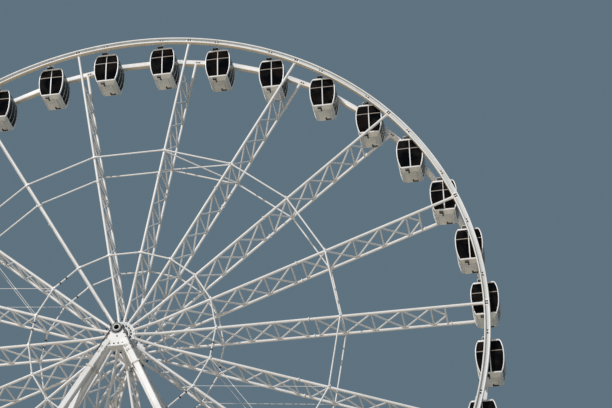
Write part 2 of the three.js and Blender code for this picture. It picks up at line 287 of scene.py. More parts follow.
def bricks(centres, halves, axes=None, bevel=0.004):
    """Bevelled boxes: centre + axes times the signed half sizes, with the bevel off all but one axis."""
    centres, halves = np.atleast_2d(centres).astype(float), np.atleast_2d(halves).astype(float)
    centres, halves = np.broadcast_arrays(centres, halves)
    axes = np.broadcast_to(np.eye(3) if axes is None else axes, (len(centres), 3, 3))
    cut = np.minimum(bevel, 0.4 * halves.min(1))[:, None, None]
    local = BRICK_SIGN * (halves[:, None] - np.where(BRICK_FULL[None], 0, cut))
    points = np.einsum("kij,knj->kni", axes, local) + centres[:, None]
    return form(points, repeated(BRICK_FACES, len(centres), len(BRICK_SIGN)))


def boxes(*corners, bevel=0.004):
    """Bevelled boxes from (low, high) corner pairs."""
    pairs = np.array(corners, float)
    return bricks(pairs.mean(1), (pairs[:, 1] - pairs[:, 0]) / 2, bevel=bevel)


def box_at(x, y, half_x, half_y, low, high):
    """The corner pair of a box with (x, y) in its middle, between two heights."""
    return (x - half_x, y - half_y, low), (x + half_x, y + half_y, high)


def beams(starts, ends, half_width, half_height, up=(0, 0, 1), bevel=0.004):
    """Rectangular bars from point to point: the axes are the side, the up and the run of each bar."""
    starts, ends = np.atleast_2d(starts).astype(float), np.atleast_2d(ends).astype(float)
    run = unit(ends - starts)
    side = unit(np.cross(np.broadcast_to(np.asarray(up, float), run.shape), run))
    axes = np.stack([side, np.cross(run, side), run], -1)
    length = np.linalg.norm(ends - starts, axis=1) / 2
    size = np.stack([np.full_like(length, half_width), np.full_like(length, half_height), length], -1)
    return bricks((starts + ends) / 2, size, axes, bevel)


def bolt_head(radius, height):
    """A six-sided head with its top edge taken off, on a washer."""
    washer = turned([(1.45 * radius, 0), (1.45 * radius, 0.25 * height)], 12)
    head = turned([(radius, 0.25 * height), (radius, 0.85 * height), (0.82 * radius, height)], 6)
    return joined(washer, head)


print("a brick has", len(BRICK_FACES), "faces, a bolt head", len(bolt_head(1, 1)[1]))

# %% [markdown]
# ## The wheel's own directions
#
# On a wheel almost every piece is placed by an angle and a radius. `at` gives a point from a radius, an angle
# and a distance along the axle, and `facing` gives the three directions there: outwards, along the axle and
# round the wheel.

# %% Wheel directions
def at(radius, angle, y):
    """(r cos a, y, hub height + r sin a)."""
    radius, angle, y = np.broadcast_arrays(*(np.asarray(v, float) for v in (radius, angle, y)))
    return np.stack([radius * np.cos(angle), y, HUB[2] + radius * np.sin(angle)], -1)


def facing(angle):
    """Columns: outwards (cos a, 0, sin a), along the axle (0, 1, 0), and their cross product."""
    angle = np.asarray(angle, float)
    zero, one = np.zeros_like(angle), np.ones_like(angle)
    out = np.stack([np.cos(angle), zero, np.sin(angle)], -1)
    along = np.stack([zero, one, zero], -1)
    return np.stack([out, along, np.cross(out, along)], -1)


SPOKES, CABINS, SECTORS = 18, 36, 6
SPOKE_ANGLES = 2 * np.pi * np.arange(SPOKES) / SPOKES
CABIN_ANGLES = 2 * np.pi * (np.arange(CABINS) + 0.5) / CABINS
HALF_BAY = math.pi / SPOKES
FRONT, REAR = -1, 1
TO_FRONT = np.array([[1, 0, 0], [0, 0, -1], [0, 1, 0]], float)  # carries +Z to -Y
TO_REAR = np.array([[1, 0, 0], [0, 0, 1], [0, -1, 0]], float)  # carries +Z to +Y
OUTWARD = {FRONT: TO_FRONT, REAR: TO_REAR}
print("a spoke every", 360 / SPOKES, "degrees and a cabin every", 360 / CABINS)

# %% Making a piece
finishes = {}
SHARP_EDGE = math.radians(32)
DARK = 1  # pieces with dark trim list it second


def mesh_object(name, shape, materials):
    """Puts a form into a mesh object in whole arrays, and gives each face its finish."""
    points, faces, finish = shape
    mesh = bpy.data.meshes.new(name)
    corners = faces[faces >= 0]
    sizes = (faces >= 0).sum(1)
    mesh.vertices.add(len(points))
    mesh.vertices.foreach_set("co", points.astype(np.float32).ravel())
    mesh.loops.add(len(corners))
    mesh.loops.foreach_set("vertex_index", corners.astype(np.int32))
    mesh.polygons.add(len(faces))
    mesh.polygons.foreach_set("loop_start", np.concatenate([[0], np.cumsum(sizes)[:-1]]).astype(np.int32))
    for material in materials:
        mesh.materials.append(finishes[material])
    mesh.polygons.foreach_set("material_index", finish.astype(np.int32))
    mesh.update(calc_edges=True)
    mesh.set_sharp_from_angle(angle=SHARP_EDGE)
    thing = bpy.data.objects.new(name, mesh)
    bpy.context.scene.collection.objects.link(thing)
    return thing


def piece(name, shape, materials, body, slot, *stands_for):
    """A mesh object that rides on its body and stands in for nodes of the frame."""
    thing = mesh_object(name, shape, materials)
    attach(thing, body)
    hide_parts(*stands_for)


print("edges above", round(math.degrees(SHARP_EDGE)), "degrees stay sharp")

# %% [markdown]
# ## Writing finishes as sums
#
# A shader is arithmetic on signals. `Signal` wraps a node's output so that `dust * 0.3 + rough` adds the Math
# nodes by itself, and `Finish` adds every other node through one method.

# %% Shader helpers
class Signal:
    """A node's output that can be added to and multiplied by a number or another signal."""

    def __init__(self, finish, socket):
        self.finish, self.socket = finish, socket

    def _math(self, operation, other):
        return self.finish.node("ShaderNodeMath", {"operation": operation}, {0: self, 1: other})

    def __add__(self, other):
        return self._math("ADD", other)

    def __mul__(self, other):
        return self._math("MULTIPLY", other)

    __radd__, __rmul__ = __add__, __mul__


class Finish:
    """A material under construction, with its Principled shader ready."""

    def __init__(self, name, **fixed):
        self.material = bpy.data.materials.new(name)
        self.material.use_nodes = True
        self.nodes, self.links = self.material.node_tree.nodes, self.material.node_tree.links
        self.shader = self.nodes["Principled BSDF"]
        self.set(**fixed)
        finishes[name] = self.material

    def node(self, kind, settings=(), inputs=(), output=0):
        """Adds a node: its settings first, then a value or a signal for each named or numbered socket."""
        made = self.nodes.new(kind)
        for name, value in dict(settings).items():
            setattr(made, name, value)
        for socket, value in dict(inputs).items():
            self.feed(made.inputs[socket], value)
        return Signal(self, made.outputs[output])

    def feed(self, socket, value):
        """Links a signal to a socket, or sets the socket to a value."""
        if isinstance(value, Signal):
            self.links.new(value.socket, socket)
        else:
            socket.default_value = value

    def set(self, **sockets):
        """Feeds the shader's own sockets, with _ for the spaces in their names."""
        for name, value in sockets.items():
            self.feed(self.shader.inputs[name.replace("_", " ")], value)

    def noise(self, scale, detail=3.0, stretch=(1, 1, 1)):
        """Noise between 0 and 1 in the object's own metres, drawn out by the stretch."""
        place = self.node("ShaderNodeTexCoord", output="Object")
        drawn = self.node("ShaderNodeMapping", {}, {"Vector": place, "Scale": stretch})
        return self.node("ShaderNodeTexNoise", {}, {"Vector": drawn, "Scale": scale, "Detail": detail})

    def ramp(self, signal, low, high):
        """0 below low, 1 above high, straight between."""
        return self.node("ShaderNodeMapRange", {}, {"Value": signal, "From Min": low, "From Max": high})

    def mix(self, factor, first, second):
        """A colour between two colours."""
        inputs = {"Factor": factor, 6: first, 7: second}
        return self.node("ShaderNodeMix", {"data_type": "RGBA"}, inputs, output=2)

    def bump(self, height, strength, distance):
        """Tilts the surface's normal by the slope of a height."""
        inputs = {"Height": height, "Strength": strength, "Distance": distance}
        self.set(Normal=self.node("ShaderNodeBump", {}, inputs))


def rgb(red, green, blue):
    """An opaque colour."""
    return (red, green, blue, 1.0)


print("finishes made so far:", len(finishes))

# %% [markdown]
# ## Paint and glass
#
# Steel that travels is painted white with a slightly warm tone. Close up the paint has a faint ripple, dust
# that gathers in patches, and faint runs drawn out downwards. The cabins' shells are glossier, their
# floors are bare grey-beige laminate, and their glazing is tinted nearly black against the sun.

# %% Painted finishes
def paint(name, clean, dusty, rough, patches=0.55):
    """Clean to dusty colour by a slow noise plus a drawn-out one; the dust is rougher than the paint."""
    made = Finish(name, Metallic=0.0, Coat_Weight=0.12, Coat_Roughness=0.25)
    slow = made.ramp(made.noise(0.55, 4.0), 0.42, 0.72)
    runs = made.ramp(made.noise(5.0, 5.0, (1, 1, 0.18)), 0.46, 0.78)
    dust = (slow * 0.6 + runs * 0.5) * patches
    made.set(Base_Color=made.mix(dust, clean, dusty), Roughness=dust * 0.3 + rough)
    made.bump(made.noise(60.0, 2.0), 0.25, 0.0012)


paint("white_steel", rgb(0.85, 0.83, 0.81), rgb(0.61, 0.565, 0.50), 0.40)
# on the front rim's recessed web this grey is painted shade, for the shade in the channel; on the axle's end
# liner and the drive motors it is their own grey
paint("web_grey", rgb(0.58, 0.60, 0.60), rgb(0.42, 0.42, 0.40), 0.45)
# painted warm light: a cream for the light that sunlit ground throws up onto the rims' hub-facing faces
paint("painted_bounce_cream", rgb(0.82, 0.70, 0.52), rgb(0.60, 0.47, 0.32), 0.5)
paint("cabin_white", rgb(0.89, 0.875, 0.86), rgb(0.68, 0.645, 0.59), 0.28, patches=0.4)
paint("underside", rgb(0.74, 0.715, 0.65), rgb(0.50, 0.475, 0.41), 0.55, patches=0.8)
paint("base_grey", rgb(0.20, 0.215, 0.23), rgb(0.32, 0.30, 0.27), 0.5, patches=0.9)
paint("dark_trim", rgb(0.014, 0.014, 0.015), rgb(0.055, 0.052, 0.05), 0.5)
paint("bronze_trim", rgb(0.36, 0.31, 0.26), rgb(0.42, 0.37, 0.32), 0.5)
print("paints:", ", ".join(finishes))

# %% Metal, rubber, glass and decking
def metal(name, colour, rough):
    """Bare metal: roughness follows fine drawn-out scratches, and patches darken to 0.6 of the colour."""
    made = Finish(name, Metallic=1.0)
    scratches = made.noise(40.0, 4.0, (1, 6, 1))
    patches = made.ramp(made.noise(1.5), 0.4, 0.7)
    darker = rgb(*(0.6 * part for part in colour[:3]))
    made.set(Base_Color=made.mix(patches, colour, darker), Roughness=scratches * 0.3 + (rough - 0.15))


def rubber():
    """Black rubber: grey and rougher where it is worn, with a fine grain."""
    made = Finish("rubber")
    worn = made.ramp(made.noise(9.0, 5.0), 0.45, 0.7)
    made.set(Base_Color=made.mix(worn, rgb(0.016, 0.016, 0.017), rgb(0.06, 0.057, 0.052)))
    made.set(Roughness=worn * 0.2 + 0.6)
    made.bump(made.noise(150.0), 0.4, 0.001)


def glass():
    """Tinted glazing: nearly black, glossy, with brown areas where the seats show through, and faint dust."""
    made = Finish("tinted_glass", IOR=1.5, Specular_IOR_Level=0.09)
    dust = made.ramp(made.noise(3.0, 5.0), 0.5, 0.8)
    warm = made.ramp(made.noise(2.2, 3.0), 0.42, 0.62)
    tinted = made.mix(warm, rgb(0.0015, 0.002, 0.003), rgb(0.010, 0.007, 0.006))
    made.set(Base_Color=made.mix(dust, tinted, rgb(0.015, 0.014, 0.013)))
    made.set(Roughness=dust * 0.05 + 0.03, Alpha=dust * 0.03 + 0.96)


def decking():
    """Aluminium planks: ribs along X every 2 cm from a sine of Y, and dull scuffs."""
    made = Finish("decking", Metallic=0.85)
    scuff = made.ramp(made.noise(2.5, 5.0), 0.4, 0.7)
    made.set(Base_Color=made.mix(scuff, rgb(0.50, 0.50, 0.49), rgb(0.27, 0.265, 0.25)))
    made.set(Roughness=scuff * 0.3 + 0.35)
    place = made.node("ShaderNodeTexCoord", output="Object")
    inputs = {"Vector": place, "Scale": 16.0, "Distortion": 0.0}
    made.bump(made.node("ShaderNodeTexWave", {"bands_direction": "Y"}, inputs), 0.5, 0.002)


metal("bare_steel", rgb(0.12, 0.125, 0.118), 0.5)
metal("zinc", rgb(0.55, 0.56, 0.58), 0.5)
rubber()
glass()
decking()
print("finishes:", ", ".join(sorted(finishes)))

# %% [markdown]
# ## The rims
#
# The front rim is a rolled channel: two white flanges with a recessed web whose own shade is painted in as
# blue-grey. Its curve is smooth, so the section is carried round in small steps. The rear rim is a plain box
# in straight lengths that meet at the cabins. Bolted plates cover the front rim at every cabin and every
# spoke, and the rear rim at every spoke. The faces that look to the hub are painted cream, painted warm light
# that stands in for the sunlit ground below them.

# %% Rim sections
RIM_STEPS = 360
FRONT_RIM = {"y": -0.625, "half_depth": 0.095, "half_width": 0.075, "flange": 0.040, "recess": 0.062}
REAR_RIM = {"y": 0.645, "half_depth": 0.085, "half_width": 0.085, "radius": PIVOT_R - 0.015}
RIM_FINISHES = ["white_steel", "dark_trim", "web_grey", "painted_bounce_cream"]
# finish 2 is the painted shade of the front rim's web, finish 3 the painted warm light on the rims' hub side
WEB, BOUNCE_CREAM = 2, 3
SLACK = 0.004


def hoop(section, angles, radius, y):
    """A section of (towards the front, outwards) offsets carried round the hub."""
    return sweep(at(radius, angles, y), section, (0, -1, 0), facing(angles)[..., 0], closed=True)


def face_places(points, faces):
    """The y and the distance from the axle of each quad's middle."""
    middle = points[faces].mean(1)
    return middle[:, 1], np.hypot(middle[:, 0], middle[:, 2] - HUB[2])


def front_rim():
    """A channel carried round a circle, with painted shade in grey on its web and painted warm light in cream
    on the side that looks to the hub.
    """
    depth, width = FRONT_RIM["half_depth"], FRONT_RIM["half_width"]
    lip, floor = depth - FRONT_RIM["flange"], width - FRONT_RIM["recess"]
    channel = softened([(-width, -depth), (width, -depth), (width, -lip), (floor, -lip), (floor, lip),
                        (width, lip), (width, depth), (-width, depth)], 0.006, 2)
    angles = np.linspace(0, 2 * np.pi, RIM_STEPS, endpoint=False)
    points, faces, _ = hoop(channel, angles, PIVOT_R, FRONT_RIM["y"])
    y, radius = face_places(points, faces)
    front_face = FRONT_RIM["y"] - width + 0.01
    in_channel = (np.abs(radius - PIVOT_R) < lip) & (y < FRONT_RIM["y"]) & (y > front_face)
    # faces that look to the hub take the cream of painted warm light
    inward = radius < PIVOT_R - depth + SLACK
    return points, faces, np.select([in_channel, inward], [WEB, BOUNCE_CREAM], 0)


def rear_rim():
    """Straight box lengths with their corners at the cabins, with painted warm light in cream on the side
    that looks to the hub.
    """
    section = rectangle(REAR_RIM["half_width"], REAR_RIM["half_depth"], 0.012, 2)
    points, faces, _ = hoop(section, CABIN_ANGLES, REAR_RIM["radius"], REAR_RIM["y"])
    _, radius = face_places(points, faces)
    inner = (REAR_RIM["radius"] - REAR_RIM["half_depth"]) * math.cos(math.pi / CABINS) + SLACK
    return points, faces, np.where(radius < inner, BOUNCE_CREAM, 0)


print("seen along the axle, the front rim is", 2 * FRONT_RIM["half_depth"], "m wide")

# %% Rim joints
PLATE_HALF, BOLT_SPREAD = 0.006, 0.04
PLATE_BOLT = (0.019, 0.018)  # radius and height, as for each bolt below
BOSS = [(0.085, -0.01), (0.085, 0.012), (0.06, 0.016), (0.052, 0.040)]
BOSS_FRONT_Y, BOSS_REAR_Y = -0.55, 0.56


def joint_plates(angles, radius, y, half_length, half_depth, rows):
    """A cover plate that looks to the front at each angle, with two bolts at each row of its depth."""
    turns = facing(angles)
    size = (half_depth, PLATE_HALF, half_length)
    plates = bricks(at(radius, angles, y - PLATE_HALF / 2), size, turns, 0.002)
    face = at(radius, angles, y - 1.5 * PLATE_HALF)
    spots = [face + turns @ np.array([u * half_depth, 0, v * BOLT_SPREAD]) for u in rows for v in (-1, 1)]
    return joined(plates, finished_as(copies(bolt_head(*PLATE_BOLT), np.concatenate(spots), TO_FRONT), DARK))


def pivot_bosses(y, turn):
    """Bearing bosses on the inner side of a rim, where the cabins' pins end."""
    return copies(moved(turned(BOSS, 20), turn=turn), at(PIVOT_R, CABIN_ANGLES, y), facing(CABIN_ANGLES))


web_y = FRONT_RIM["y"] - FRONT_RIM["half_width"] + FRONT_RIM["recess"]
rear_y = REAR_RIM["y"] - REAR_RIM["half_width"]
front_plates = joined(joint_plates(CABIN_ANGLES, PIVOT_R, web_y, 0.055, 0.050, (0,)),
                      joint_plates(SPOKE_ANGLES, PIVOT_R, web_y, 0.12, 0.050, (-0.5, 0.5)))
rear_plates = joint_plates(SPOKE_ANGLES - 0.006, REAR_RIM["radius"] - 0.03, rear_y, 0.10, 0.045, (-0.6,))
piece("front_rim_channel", joined(front_rim(), front_plates, pivot_bosses(BOSS_FRONT_Y, TO_REAR)),
      RIM_FINISHES, "wheel", "frame_paint", "front_rim")
piece("rear_rim_box", joined(rear_rim(), rear_plates, pivot_bosses(BOSS_REAR_Y, TO_FRONT)),
      RIM_FINISHES, "wheel", "frame_paint", "rear_rim")
print("rims of", RIM_STEPS, "and", CABINS, "lengths")

# %% [markdown]
# ## The spokes
#
# Each spoke is a flat lattice girder that stands edge-on to the wheel: one chord runs to the front rim and
# one to the rear rim, with crossbars and crossed diagonals between them. The girder comes in two lengths,
# bolted end to end at a pair of close crossbars. Past the last crossbar the chords run bare to the rims, and
# inside the first they spread to the hub's flange. Every bar of a spoke is one row of two arrays of ends.

# %% Spoke geometry
CROSSBARS = np.array([1.24, 2.16, 3.036, 3.97, 4.86, 5.785, 6.165, 6.969, 7.924, 8.866, 9.775, 10.212])
JOINT_BAY, LAST_BAY = 5, len(CROSSBARS) - 2
KNEE_R, INNER_RING, OUTER_RING = CROSSBARS[[0, 2, 7]]
CHORD_R, BAR_R, DIAGONAL_R = 0.046, 0.030, 0.029
FLANGE_R, FLANGE_Y, KNEE_Y, RIM_Y = 0.44, 0.69, 0.58, 0.60
FRONT_END, REAR_END, SLEEVE_START = 11.40, 11.356, 10.33


def chord_y(radius):
    """Distance of a chord from the middle plane: a straight line inside the knee and another outside it."""
    return np.interp(radius, [FLANGE_R, KNEE_R, PIVOT_R], [FLANGE_Y, KNEE_Y, RIM_Y])


def on_chord(radius, side):
    """The point of a spoke's plane on one of its chords, as a (radius, y) pair."""
    return radius, side * chord_y(radius)


def spoke_bars():
    """Ends and radii of a spoke's bars in its own plane, as (radius, y) pairs."""
    bars = []
    for side, end in ((FRONT, FRONT_END), (REAR, REAR_END)):
        bars.append((on_chord(FLANGE_R - 0.03, side), on_chord(KNEE_R + 0.02, side), CHORD_R))
        bars.append((on_chord(KNEE_R - 0.02, side), on_chord(end, side), CHORD_R))
    bars.append((on_chord(SLEEVE_START, REAR), on_chord(REAR_END, REAR), 1.2 * CHORD_R))
    bars += [(on_chord(radius, FRONT), on_chord(radius, REAR), BAR_R) for radius in CROSSBARS]
    for bay, (low, high) in enumerate(zip(CROSSBARS[:-1], CROSSBARS[1:])):
        if bay != JOINT_BAY:
            for side in (FRONT, REAR):
                end = (high, 0) if bay == LAST_BAY else on_chord(high, -side)
                bars.append((on_chord(low, side), end, DIAGONAL_R))
    starts, ends, radii = zip(*bars)
    return np.array(starts), np.array(ends), np.array(radii)


print("a spoke has", len(spoke_bars()[0]), "bars")

# %% Spoke joints
JOINT_R = 5.985
COUPLER_R, COUPLER_HALF, COUPLER_STEP, COUPLER_BOLTS_R = 0.074, 0.008, 0.02, 0.062
FOOT, COUPLER_BOLT = (0.008, 0.05, 0.07), (0.008, 0.010)


def coupler(angle, radius, sides):
    """Two discs square to each chord, with six bolt heads in a circle on the face that looks to the rim."""
    r, side = (v.ravel() for v in np.meshgrid([radius - COUPLER_STEP, radius], sides))
    low, high = (at(r + half, angle, side * chord_y(r + half)) for half in (-COUPLER_HALF, COUPLER_HALF))
    discs = tubes(low, high, COUPLER_R, 16)
    out, along, third = facing(angle).T
    a = np.linspace(0, 2 * np.pi, 6, endpoint=False)[:, None]
    circle = COUPLER_BOLTS_R * (np.cos(a) * along + np.sin(a) * third)
    face = radius + COUPLER_HALF
    spots = np.concatenate([at(face, angle, side * chord_y(face)) + circle for side in sides])
    heads = copies(bolt_head(*COUPLER_BOLT), spots, np.stack([along, third, out], -1))
    return joined(discs, finished_as(heads, DARK))


def spoke(angle):
    """The bars at an angle, a coupler at the joint and at the rear sleeve, and a foot plate on each rim."""
    starts, ends, radii = spoke_bars()
    bars = tubes(at(starts[:, 0], angle, starts[:, 1]), at(ends[:, 0], angle, ends[:, 1]), radii)
    feet = [bricks(at(end - FOOT[0], angle, side * RIM_Y), FOOT, facing(angle), 0.003)
            for side, end in ((FRONT, FRONT_END), (REAR, REAR_END))]
    return joined(bars, coupler(angle, JOINT_R, (FRONT, REAR)), coupler(angle, SLEEVE_START, (REAR,)), *feet)


print("a spoke with its joints has", len(spoke(0.0)[1]), "faces")

# %% [markdown]
# The chords end on the rim of the hub's flange, with a dark bolted clamp inside each end. A thin tie with a
# dark nut joins each chord to the next one just outside the flange. The flange is cut into six sectors, as
# the solids are.

# %% Hub flange sectors
FLANGE_INSIDE, FLANGE_OUTSIDE, FLANGE_HALF = 0.302, 0.45, 0.04
FLANGE_BOLTS_R, CLAMP_R, LINK_R, LINK_Y = 0.40, 0.333, 0.60, 0.67
SECTOR_GAP = 0.001
FLANGE_BOLT, FLANGE_BOLT_TURN = (0.014, 0.018), math.radians(7)
CLAMP, CLAMP_END, CLAMP_END_SPREAD = (0.020, 0.014, 0.028), (0.009, 0.010, 0.009), 0.014
SHOE, LINK_ROD_R, LINK_NUT = (0.028, 0.044, 0.052), 0.013, (0.021, 0.026, 0.036)


def flange_sector(angles, side):
    """A slab between two radii, from half a bay before a sector's spokes to half a bay past them."""
    turn = np.linspace(angles[0] - HALF_BAY + SECTOR_GAP, angles[-1] + HALF_BAY - SECTOR_GAP, 19)
    radii = np.array([FLANGE_INSIDE, FLANGE_INSIDE + 0.008, FLANGE_OUTSIDE - 0.008, FLANGE_OUTSIDE])[:, None]
    half = (FLANGE_HALF - np.array([0.006, 0, 0, 0.006]))[:, None]
    outer, inner = at(radii, turn, side * (FLANGE_Y + half)), at(radii, turn, side * (FLANGE_Y - half))
    return slab(outer, inner, mirrored=side > 0)


def flange_bolts(angles, side):
    """A bolt at seven degrees on either side of each chord's end."""
    near = (angles[:, None] + np.array([-1, 1]) * FLANGE_BOLT_TURN).ravel()
    spots = at(FLANGE_BOLTS_R, near, side * (FLANGE_Y + FLANGE_HALF))
    return copies(bolt_head(*FLANGE_BOLT), spots, OUTWARD[side])


def chord_clamps(angles, side):
    """A dark clamp between the barrel and each chord's end, with two bolt ends on it."""
    face, turns = side * (FLANGE_Y + 0.05), facing(angles)
    clamp = bricks(at(CLAMP_R, angles, face), CLAMP, turns, 0.005)
    top = at(CLAMP_R, angles, face + side * 0.02)
    ends = [bricks(top + sign * CLAMP_END_SPREAD * turns[..., 2], CLAMP_END, turns, 0.003)
            for sign in (-1, 1)]
    return joined(clamp, *ends)


def chord_shoes(angles, side):
    """Flat shoes that seat the chords' ends on the flange's edge."""
    return bricks(at(FLANGE_R, angles, side * FLANGE_Y), SHOE, facing(angles), 0.01)


def root_links(angles, side):
    """A thin tie from each chord to the next, and the dark nut in the middle of it."""
    following, middles = angles + 2 * HALF_BAY, angles + HALF_BAY
    ties = tubes(at(LINK_R, angles, side * LINK_Y), at(LINK_R, following, side * LINK_Y), LINK_ROD_R, 8)
    nut_at = at(LINK_R * math.cos(HALF_BAY), middles, side * LINK_Y)
    return ties, bricks(nut_at, LINK_NUT, facing(middles), 0.006)


for sector, angles in enumerate(np.split(SPOKE_ANGLES, SECTORS), 1):
    parts = [spoke(angle) for angle in angles]
    for side in (FRONT, REAR):
        ties, nuts = root_links(angles, side)
        parts += [flange_sector(angles, side), chord_shoes(angles, side), flange_bolts(angles, side), ties,
                  finished_as(joined(chord_clamps(angles, side), nuts), DARK)]
    piece(f"spoke_girders_{sector}", joined(*parts), ["white_steel", "dark_trim"],
          "wheel", "frame_paint", f"spokes_{sector}")
print(SECTORS, "sectors of", SPOKES // SECTORS, "spokes")

# %% [markdown]
# ## The rings of struts
#
# Two rings of thin tubes keep the spokes apart, in front and behind. Each tube ends in a flat eye on the
# chord. In one bay of six the front and rear outer rings are braced with a cross. In two opposite bays taut
# thin stays cross between the inner and the outer ring, and the inner ring's tubes beside those bays have
# two dark couplings each.

# %% Strut rings
RING_OFFSET, STRUT_R, EYE = 0.066, 0.0265, 0.05
CLAMP_NEAR, CLAMP_FAR = 0.17, 0.19
RING_PIN, EYE_PLATE, STAY_PLATE = (0.02, 0.02), (0.034, 0.012, EYE + 0.03), (0.022, 0.012, 0.022)
COUPLING_HALF_LENGTH, COUPLING_HALF = 0.028, 0.032
STAYED_BAYS, STAY_R, COUPLING_PLACES = (7, 16), 0.009, (0.26, 0.50)
BRACED_BAYS = (3, 9, 15)
RING_ZINC = 2


def ring_nodes(radius, spoke_numbers, side):
    """The points on a ring at the spokes with these numbers, which start again after the last spoke."""
    angles = SPOKE_ANGLES[np.asarray(spoke_numbers) % SPOKES]
    return at(radius, angles, side * (chord_y(radius) + RING_OFFSET))


def strut_ring(radius, side):
    """Eighteen tubes from spoke to spoke, a clamp near each end, and an eye with a pin on each chord."""
    here, following = (ring_nodes(radius, np.arange(SPOKES) + step, side) for step in (0, 1))
    run = unit(following - here)
    struts = tubes(here + EYE * run, following - EYE * run, STRUT_R)
    clamps = tubes(np.vstack([here + CLAMP_NEAR * run, following - CLAMP_FAR * run]),
                   np.vstack([here + CLAMP_FAR * run, following - CLAMP_NEAR * run]), STRUT_R + 0.009, 10)
    eyes = bricks(here, EYE_PLATE, facing(SPOKE_ANGLES), 0.004)
    pins = copies(bolt_head(*RING_PIN), here + (0, side * EYE_PLATE[1], 0), OUTWARD[side])
    return joined(struts, clamps, eyes, finished_as(pins, RING_ZINC))


def couplings(side):
    """Dark sleeves on the inner tubes next to each stayed bay, at fractions of the way from its spokes."""
    sleeves = []
    for bay in STAYED_BAYS:
        for near, far in ((bay, bay - 1), (bay + 1, bay + 2)):
            start, end = ring_nodes(INNER_RING, (near, far), side)
            middles = start + np.outer(COUPLING_PLACES, end - start)
            half = COUPLING_HALF_LENGTH * unit(end - start)
            size = (COUPLING_HALF, COUPLING_HALF)
            sleeves.append(beams(middles - half, middles + half, *size, (0, 1, 0), 0.004))
    return finished_as(joined(*sleeves), DARK)


def stays(side):
    """Crossed stays from the inner to the outer ring, with a plate at 2 r1 r2 cos(half a bay) / (r1 + r2)."""
    cross_r = 2 * INNER_RING * OUTER_RING * math.cos(HALF_BAY) / (INNER_RING + OUTER_RING)
    parts = []
    for bay in STAYED_BAYS:
        starts = ring_nodes(INNER_RING, (bay, bay + 1), side)
        ends = ring_nodes(OUTER_RING, (bay + 1, bay), side)
        middle = SPOKE_ANGLES[bay] + HALF_BAY
        plate = at(cross_r, middle, side * (chord_y(cross_r) + RING_OFFSET))
        parts += [tubes(starts, ends, STAY_R, 8), bricks(plate, STAY_PLATE, facing(middle), 0.003)]
    return joined(*parts)


def bay_cross(first):
    """Two diagonals between the outer rings across one bay."""
    low, high = SPOKE_ANGLES[first], SPOKE_ANGLES[first + 1]
    y = chord_y(OUTER_RING)
    corners = at(OUTER_RING, [low, low, high, high], [-y, y, -y, y])
    return tubes(corners[[0, 1]], corners[[3, 2]], STRUT_R * 0.85)


crosses = [bay_cross(bay) for bay in BRACED_BAYS]
for name, radius in (("inner", INNER_RING), ("outer", OUTER_RING)):
    for word, side in (("front", FRONT), ("rear", REAR)):
        extras = crosses if side == FRONT else []
        if name == "inner":
            extras = [couplings(side), stays(side)]
        piece(f"{name}_struts_{word}", joined(strut_ring(radius, side), *extras),
              ["white_steel", "dark_trim", "zinc"], "wheel", "frame_paint", f"{name}_ring_{word}")
print("ring radii", INNER_RING, OUTER_RING)

# %% [markdown]
# ## Hub and axle
#
# The hub is a short barrel that turns on a fixed hollow axle. From the front the axle's open end is a black
# hole in
# the saddle of the head: its depth shades it, and a black sleeve and plug inside it add painted shade.

# %% Hub and axle
def at_both_ends(shape, finish):
    """A form that was turned about Z, laid along the axle and once more the other way round."""
    return finished_as(joined(*(moved(shape, HUB, turn) for turn in (TO_REAR, TO_FRONT))), finish)


SEAL = [(0.176, 0.76), (0.235, 0.76), (0.225, 0.80), (0.176, 0.80)]
PLUG = [(0.083, 0.99), (0.083, 1.02), (0.07, 1.024), (0.03, 1.024), (0.028, 1.03)]
AXLE_WEB, PAINTED_BORE_SHADE = 1, 2
barrel = moved(pipe(0.174, 0.2985, 0.76, (0.0135, 0.015), 72), HUB, TO_REAR)
piece("hub_barrel", joined(barrel, at_both_ends(turned(SEAL, 48, hollow=True), DARK)),
      ["white_steel", "dark_trim"], "wheel", "frame_paint", "hub")
axle = moved(pipe(0.110, 0.1655, 1.29, (0.0075, 0.010), 64), HUB, TO_REAR)
liner = turned(wall(0.084, 0.1095, 1.262, 1.286), 48, hollow=True)
# the black rubber sleeve in the bore and the plug at its bottom are painted shade for the dark inside of the
# open end
sleeve = turned(wall(0.0835, 0.1095, 0.95, 1.261), 48, hollow=True)
ends = joined(at_both_ends(liner, AXLE_WEB), at_both_ends(sleeve, PAINTED_BORE_SHADE),
              at_both_ends(turned(PLUG, 48), PAINTED_BORE_SHADE))
piece("axle_tube", joined(axle, ends), ["bare_steel", "web_grey", "rubber"],
      "stand", "axle_steel", "main_axle")
print("axle of", len(axle[1]) + len(ends[1]), "faces")

# %% [markdown]
# ## Heads and legs
#
# The axle rests in two forked heads. Each head is a welded box, so it is drawn as a band between its outline
# and the saddle, with its edges taken off. Its arms beside the axle are dark bearing blocks, and a dark duct
# runs down each edge of the front one. The legs are wide square tubes in bolted lengths, and the outer ones
# have two collars near the head. They leave the head in pairs and stand apart at the ground, with lacing
# between the two tubes of a pair.

